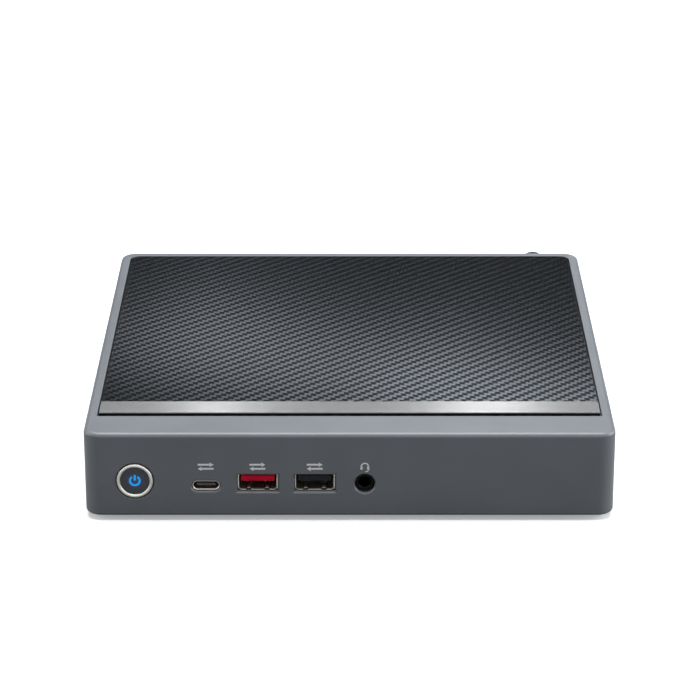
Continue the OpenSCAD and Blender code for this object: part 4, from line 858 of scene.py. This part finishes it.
def area_light(name, place, target, width, depth, power, roll=0.0, tint="ffffff"):
    """A flat lamp that faces the target, rolled by some degrees round its own axis."""
    data = bpy.data.lights.new(name, "AREA")
    data.shape = "RECTANGLE"
    data.size = width
    data.size_y = depth
    data.energy = power
    data.color = linear(tint)[:3]
    obj = bpy.data.objects.new(name, data)
    obj.location = place
    aim = (Vector(target) - Vector(place)).to_track_quat("-Z", "Y")
    obj.rotation_euler = (aim @ Quaternion((0, 0, 1), math.radians(roll))).to_euler()
    bpy.context.scene.collection.objects.link(obj)


def stage_sheet(name, corners, material):
    """A flat sheet of the stage with four corners."""
    bm = bmesh.new()
    bm.faces.new([bm.verts.new(corner) for corner in corners])
    return from_bmesh(name, bm, material)


def white_surround(strength):
    """Paper white to the eye and in mirrors, and a dim cool light on everything else."""
    world = bpy.data.worlds.new("white_surround")
    world.use_nodes = True
    t = world.node_tree
    t.nodes.clear()
    rays = add(t, "ShaderNodeLightPath").node.outputs
    soft = add(t, "ShaderNodeBackground", {"Color": linear("c9ced4"), "Strength": strength})
    paper = add(t, "ShaderNodeBackground", {"Color": (1, 1, 1, 1), "Strength": 1.0})
    in_metal = {0: rays["Is Glossy Ray"], 1: rays["Is Transmission Ray"]}
    mirrored = add(t, MATH, in_metal, operation="MAXIMUM")
    shown = add(t, MATH, {0: rays["Is Camera Ray"], 1: mirrored}, operation="MAXIMUM")
    mixed = add(t, "ShaderNodeMixShader", {0: shown, 1: soft, 2: paper})
    add(t, "ShaderNodeOutputWorld", {0: mixed})
    return world


def build_stage(p):
    """Pale floor, white surround, soft studio light and a camera before the front, a little above."""
    scene = bpy.context.scene
    half = 3.0
    corners = ((-half, -half, 0), (half, -half, 0), (half, half, 0), (-half, half, 0))
    floor = stage_sheet("studio_floor", corners, pale_floor())

    # the flag stands just behind the rear cards
    side, top, flag_y, cards_y = 1.6, 1.7, 2.1, 2.0
    corners = ((-side, flag_y, 0), (side, flag_y, 0), (side, flag_y, top), (-side, flag_y, top))
    flag = stage_sheet("dark_flag", corners, flag_cloth())

    scene.world = white_surround(p.surround)

    above, below = (0.0, p.overhead_y, 1.25), (0.0, p.overhead_y, 0.0)
    area_light("overhead_softbox", above, below, 1.2, p.overhead_deep, p.overhead, tint="f8fdff")
    area_light("left_softbox", (-1.25, 0.0, 0.5), (0, 0, 0.02), 1.0, 0.8, p.left)
    area_light("right_softbox", (1.25, 0.0, 0.5), (0, 0, 0.02), 1.0, 0.8, p.right)
    area_light("front_fill", (0.1, -1.9, 0.8), (0, 0, 0.03), 2.4, 1.4, p.fill)
    # each of these draws a bright band on the brushed strip
    area_light("left_band_lamp", (-0.104, 0.85, 1.1), (-0.045, -0.07, 0.03), 0.03, 0.7, p.bands)
    area_light("right_band_lamp", (0.104, 0.85, 0.95), (0.045, -0.07, 0.03), 0.07, 0.7, p.bands)
    # two overlapping cards, a wide one and a shorter one, make a band that grows to the right
    right_end, deep, tilt = 0.8, 0.09, 11
    for name, left_end, share in (("rear_card_wide", -0.32, 0.47), ("rear_card_right", 0.0, 0.25)):
        middle, width = (left_end + right_end) / 2, right_end - left_end
        height = p.rear_z + math.tan(math.radians(tilt)) * middle
        power = share * width * p.rear
        area_light(name, (middle, cards_y, height), (0, 0, 0.03), width, deep, power, roll=-tilt)

    data = bpy.data.cameras.new("camera")
    data.sensor_width = 36.0
    data.lens = p.lens
    camera = bpy.data.objects.new("camera", data)
    camera.location = (0.00014, -0.9146, 0.39135)
    camera.rotation_euler = (math.radians(68.16), 0, 0)
    scene.collection.objects.link(camera)
    scene.camera = camera
    scene.view_settings.view_transform = "Standard"


# ---------- the add-on ----------


class MINIPC_PG_looks(bpy.types.PropertyGroup):
    """Sizes of the pieces that the frame leaves to the looks."""

    mark_width: FloatProperty(
        name="Mark Width", description="Width of a printed data mark",
        default=5.2 * MM, unit="LENGTH",
    )
    mark_drop: FloatProperty(
        name="Mark Drop", description="Depth of the marks' middle below the rim",
        default=11.6 * MM, unit="LENGTH",
    )
    thread_pitch: FloatProperty(
        name="Thread Pitch", description="Pitch of the thumbscrew's thread",
        default=0.5 * MM, unit="LENGTH",
    )
    part_density: FloatProperty(
        name="Part Density", description="Small board parts for each square metre",
        default=90000.0,
    )
    seed: IntProperty(name="Seed", description="Seed of the scattered board parts", default=7)


# what every colour property has in common, besides its subtype
COLOUR_RANGE = {"size": 4, "min": 0.0, "max": 1.0}


class MINIPC_PG_colours(bpy.types.PropertyGroup):
    """Colours of the finishes that show from outside, taken when the materials are made."""

    cover: FloatVectorProperty(
        name="Cover", description="Satin plastic of the cover",
        default=linear("676a6f"), subtype="COLOR", **COLOUR_RANGE,
    )
    # painted highlight and shade: the two tows are one carbon, given a shaded and a lit colour for the
    # light that each catches
    shaded_tow: FloatVectorProperty(
        name="Dark Tow", description="Tows of the panel that lie across",
        default=linear("25282c"), subtype="COLOR", **COLOUR_RANGE,
    )
    lit_tow: FloatVectorProperty(
        name="Light Tow", description="Tows of the panel that catch the light",
        default=linear("707378"), subtype="COLOR", **COLOUR_RANGE,
    )
    strip: FloatVectorProperty(
        name="Strip", description="Brushed aluminium of the trim strip",
        default=linear("858585"), subtype="COLOR", **COLOUR_RANGE,
    )
    ring: FloatVectorProperty(
        name="Button Ring", description="Satin chrome round the power button",
        default=linear("cbc8c3"), subtype="COLOR", **COLOUR_RANGE,
    )
    glow: FloatVectorProperty(
        name="Lit Mark", description="Light of the mark on the power button",
        default=linear("0394e1"), subtype="COLOR", **COLOUR_RANGE,
    )
    ink: FloatVectorProperty(
        name="Ink", description="Print over the front sockets",
        default=linear("f7f7f8"), subtype="COLOR", **COLOUR_RANGE,
    )
    fast_tongue: FloatVectorProperty(
        name="Fast Socket Tongue", description="Tongue of the socket that charges",
        default=linear("f40338"), subtype="COLOR", **COLOUR_RANGE,
    )


class MINIPC_PG_stage(bpy.types.PropertyGroup):
    """Lights and lens of the stage."""

    overhead: FloatProperty(
        name="Overhead", description="Power of the overhead softbox in watts",
        default=29.5, unit="POWER",
    )
    overhead_y: FloatProperty(
        name="Overhead Y", description="Place of the overhead softbox",
        default=0.27, unit="LENGTH",
    )
    overhead_deep: FloatProperty(
        name="Overhead Depth", description="Depth of the overhead softbox",
        default=1.4, unit="LENGTH",
    )
    left: FloatProperty(
        name="Left", description="Power of the left softbox in watts", default=7.0, unit="POWER"
    )
    right: FloatProperty(
        name="Right", description="Power of the right softbox in watts", default=15.0, unit="POWER"
    )
    rear_z: FloatProperty(
        name="Rear Card Z", description="Height of the rear cards at the middle",
        default=0.892, unit="LENGTH",
    )
    rear: FloatProperty(
        name="Rear", description="Power of the rear cards in watts for each metre",
        default=1.37, unit="POWER",
    )
    fill: FloatProperty(
        name="Fill", description="Power of the front fill in watts", default=8.5, unit="POWER"
    )
    bands: FloatProperty(
        name="Band Lamps", description="Power of each lamp that draws a band on the strip",
        default=1.05, unit="POWER",
    )
    surround: FloatProperty(
        name="Surround", description="Strength of the soft surround", default=0.07
    )
    lens: FloatProperty(
        name="Lens", description="Focal length in millimetres", default=142.5, unit="CAMERA"
    )


# filled by the first operator, for the ones after it
MATERIALS = {}


class MINIPC_OT_finishes(bpy.types.Operator):
    """Give every CAD node its finish"""

    bl_idname = "minipc.finishes"
    bl_label = "Finishes"

    def execute(self, context):
        MATERIALS.update(all_materials(context.scene.minipc_colours))
        done = set()
        for key, names in NODE_FINISH.items():
            for name in names:
                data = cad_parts[name].data
                data.materials.clear()
                data.materials.append(MATERIALS[key])
                done.add(name)
        left = set(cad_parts) - done
        if left:
            raise RuntimeError("nodes without a finish: " + ", ".join(sorted(left)))
        return {"FINISHED"}


class MINIPC_OT_marks(bpy.types.Operator):
    """Print the marks over the front sockets"""

    bl_idname = "minipc.marks"
    bl_label = "Front Marks"

    def execute(self, context):
        build_marks(context.scene.minipc_looks, MATERIALS)
        return {"FINISHED"}


class MINIPC_OT_contacts(bpy.types.Operator):
    """Lay the contacts on the socket tongues"""

    bl_idname = "minipc.contacts"
    bl_label = "Socket Contacts"

    def execute(self, context):
        build_contacts(MATERIALS)
        return {"FINISHED"}


class MINIPC_OT_board_parts(bpy.types.Operator):
    """Scatter the small parts over the mainboard"""

    bl_idname = "minipc.board_parts"
    bl_label = "Board Parts"

    def execute(self, context):
        build_board_parts(context.scene.minipc_looks, MATERIALS)
        return {"FINISHED"}


class MINIPC_OT_thread(bpy.types.Operator):
    """Wind the thread round the thumbscrew's shank"""

    bl_idname = "minipc.thread"
    bl_label = "Screw Thread"

    def execute(self, context):
        build_thread(context.scene.minipc_looks, MATERIALS)
        return {"FINISHED"}


class MINIPC_OT_leads(bpy.types.Operator):
    """Run the inner leads"""

    bl_idname = "minipc.leads"
    bl_label = "Inner Leads"

    def execute(self, context):
        build_leads(MATERIALS)
        return {"FINISHED"}


class MINIPC_OT_stage(bpy.types.Operator):
    """Set the floor, the lights and the camera"""

    bl_idname = "minipc.stage"
    bl_label = "Stage"

    def execute(self, context):
        build_stage(context.scene.minipc_stage)
        return {"FINISHED"}


STEPS = ("finishes", "marks", "contacts", "board_parts", "thread", "leads", "stage")


class MINIPC_PT_panel(bpy.types.Panel):
    """The sidebar's panel"""

    bl_label = "Mini PC"
    bl_idname = "MINIPC_PT_panel"
    bl_space_type = "VIEW_3D"
    bl_region_type = "UI"
    bl_category = "Mini PC"

    def draw(self, context):
        scene = context.scene
        for group in (scene.minipc_looks, scene.minipc_colours, scene.minipc_stage):
            column = self.layout.column()
            for key in group.__annotations__:
                column.prop(group, key)
        for step in STEPS:
            self.layout.operator("minipc." + step)


CLASSES = (
    MINIPC_PG_looks, MINIPC_PG_colours, MINIPC_PG_stage,
    MINIPC_OT_finishes, MINIPC_OT_marks, MINIPC_OT_contacts, MINIPC_OT_board_parts,
    MINIPC_OT_thread, MINIPC_OT_leads, MINIPC_OT_stage, MINIPC_PT_panel,
)


def register():
    for cls in CLASSES:
        bpy.utils.register_class(cls)
    bpy.types.Scene.minipc_looks = PointerProperty(type=MINIPC_PG_looks)
    bpy.types.Scene.minipc_colours = PointerProperty(type=MINIPC_PG_colours)
    bpy.types.Scene.minipc_stage = PointerProperty(type=MINIPC_PG_stage)


def unregister():
    del bpy.types.Scene.minipc_stage
    del bpy.types.Scene.minipc_colours
    del bpy.types.Scene.minipc_looks
    for cls in reversed(CLASSES):
        bpy.utils.unregister_class(cls)


def main():
    register()
    for step in STEPS:
        getattr(bpy.ops.minipc, step)()


if __name__ == "__main__":
    main()
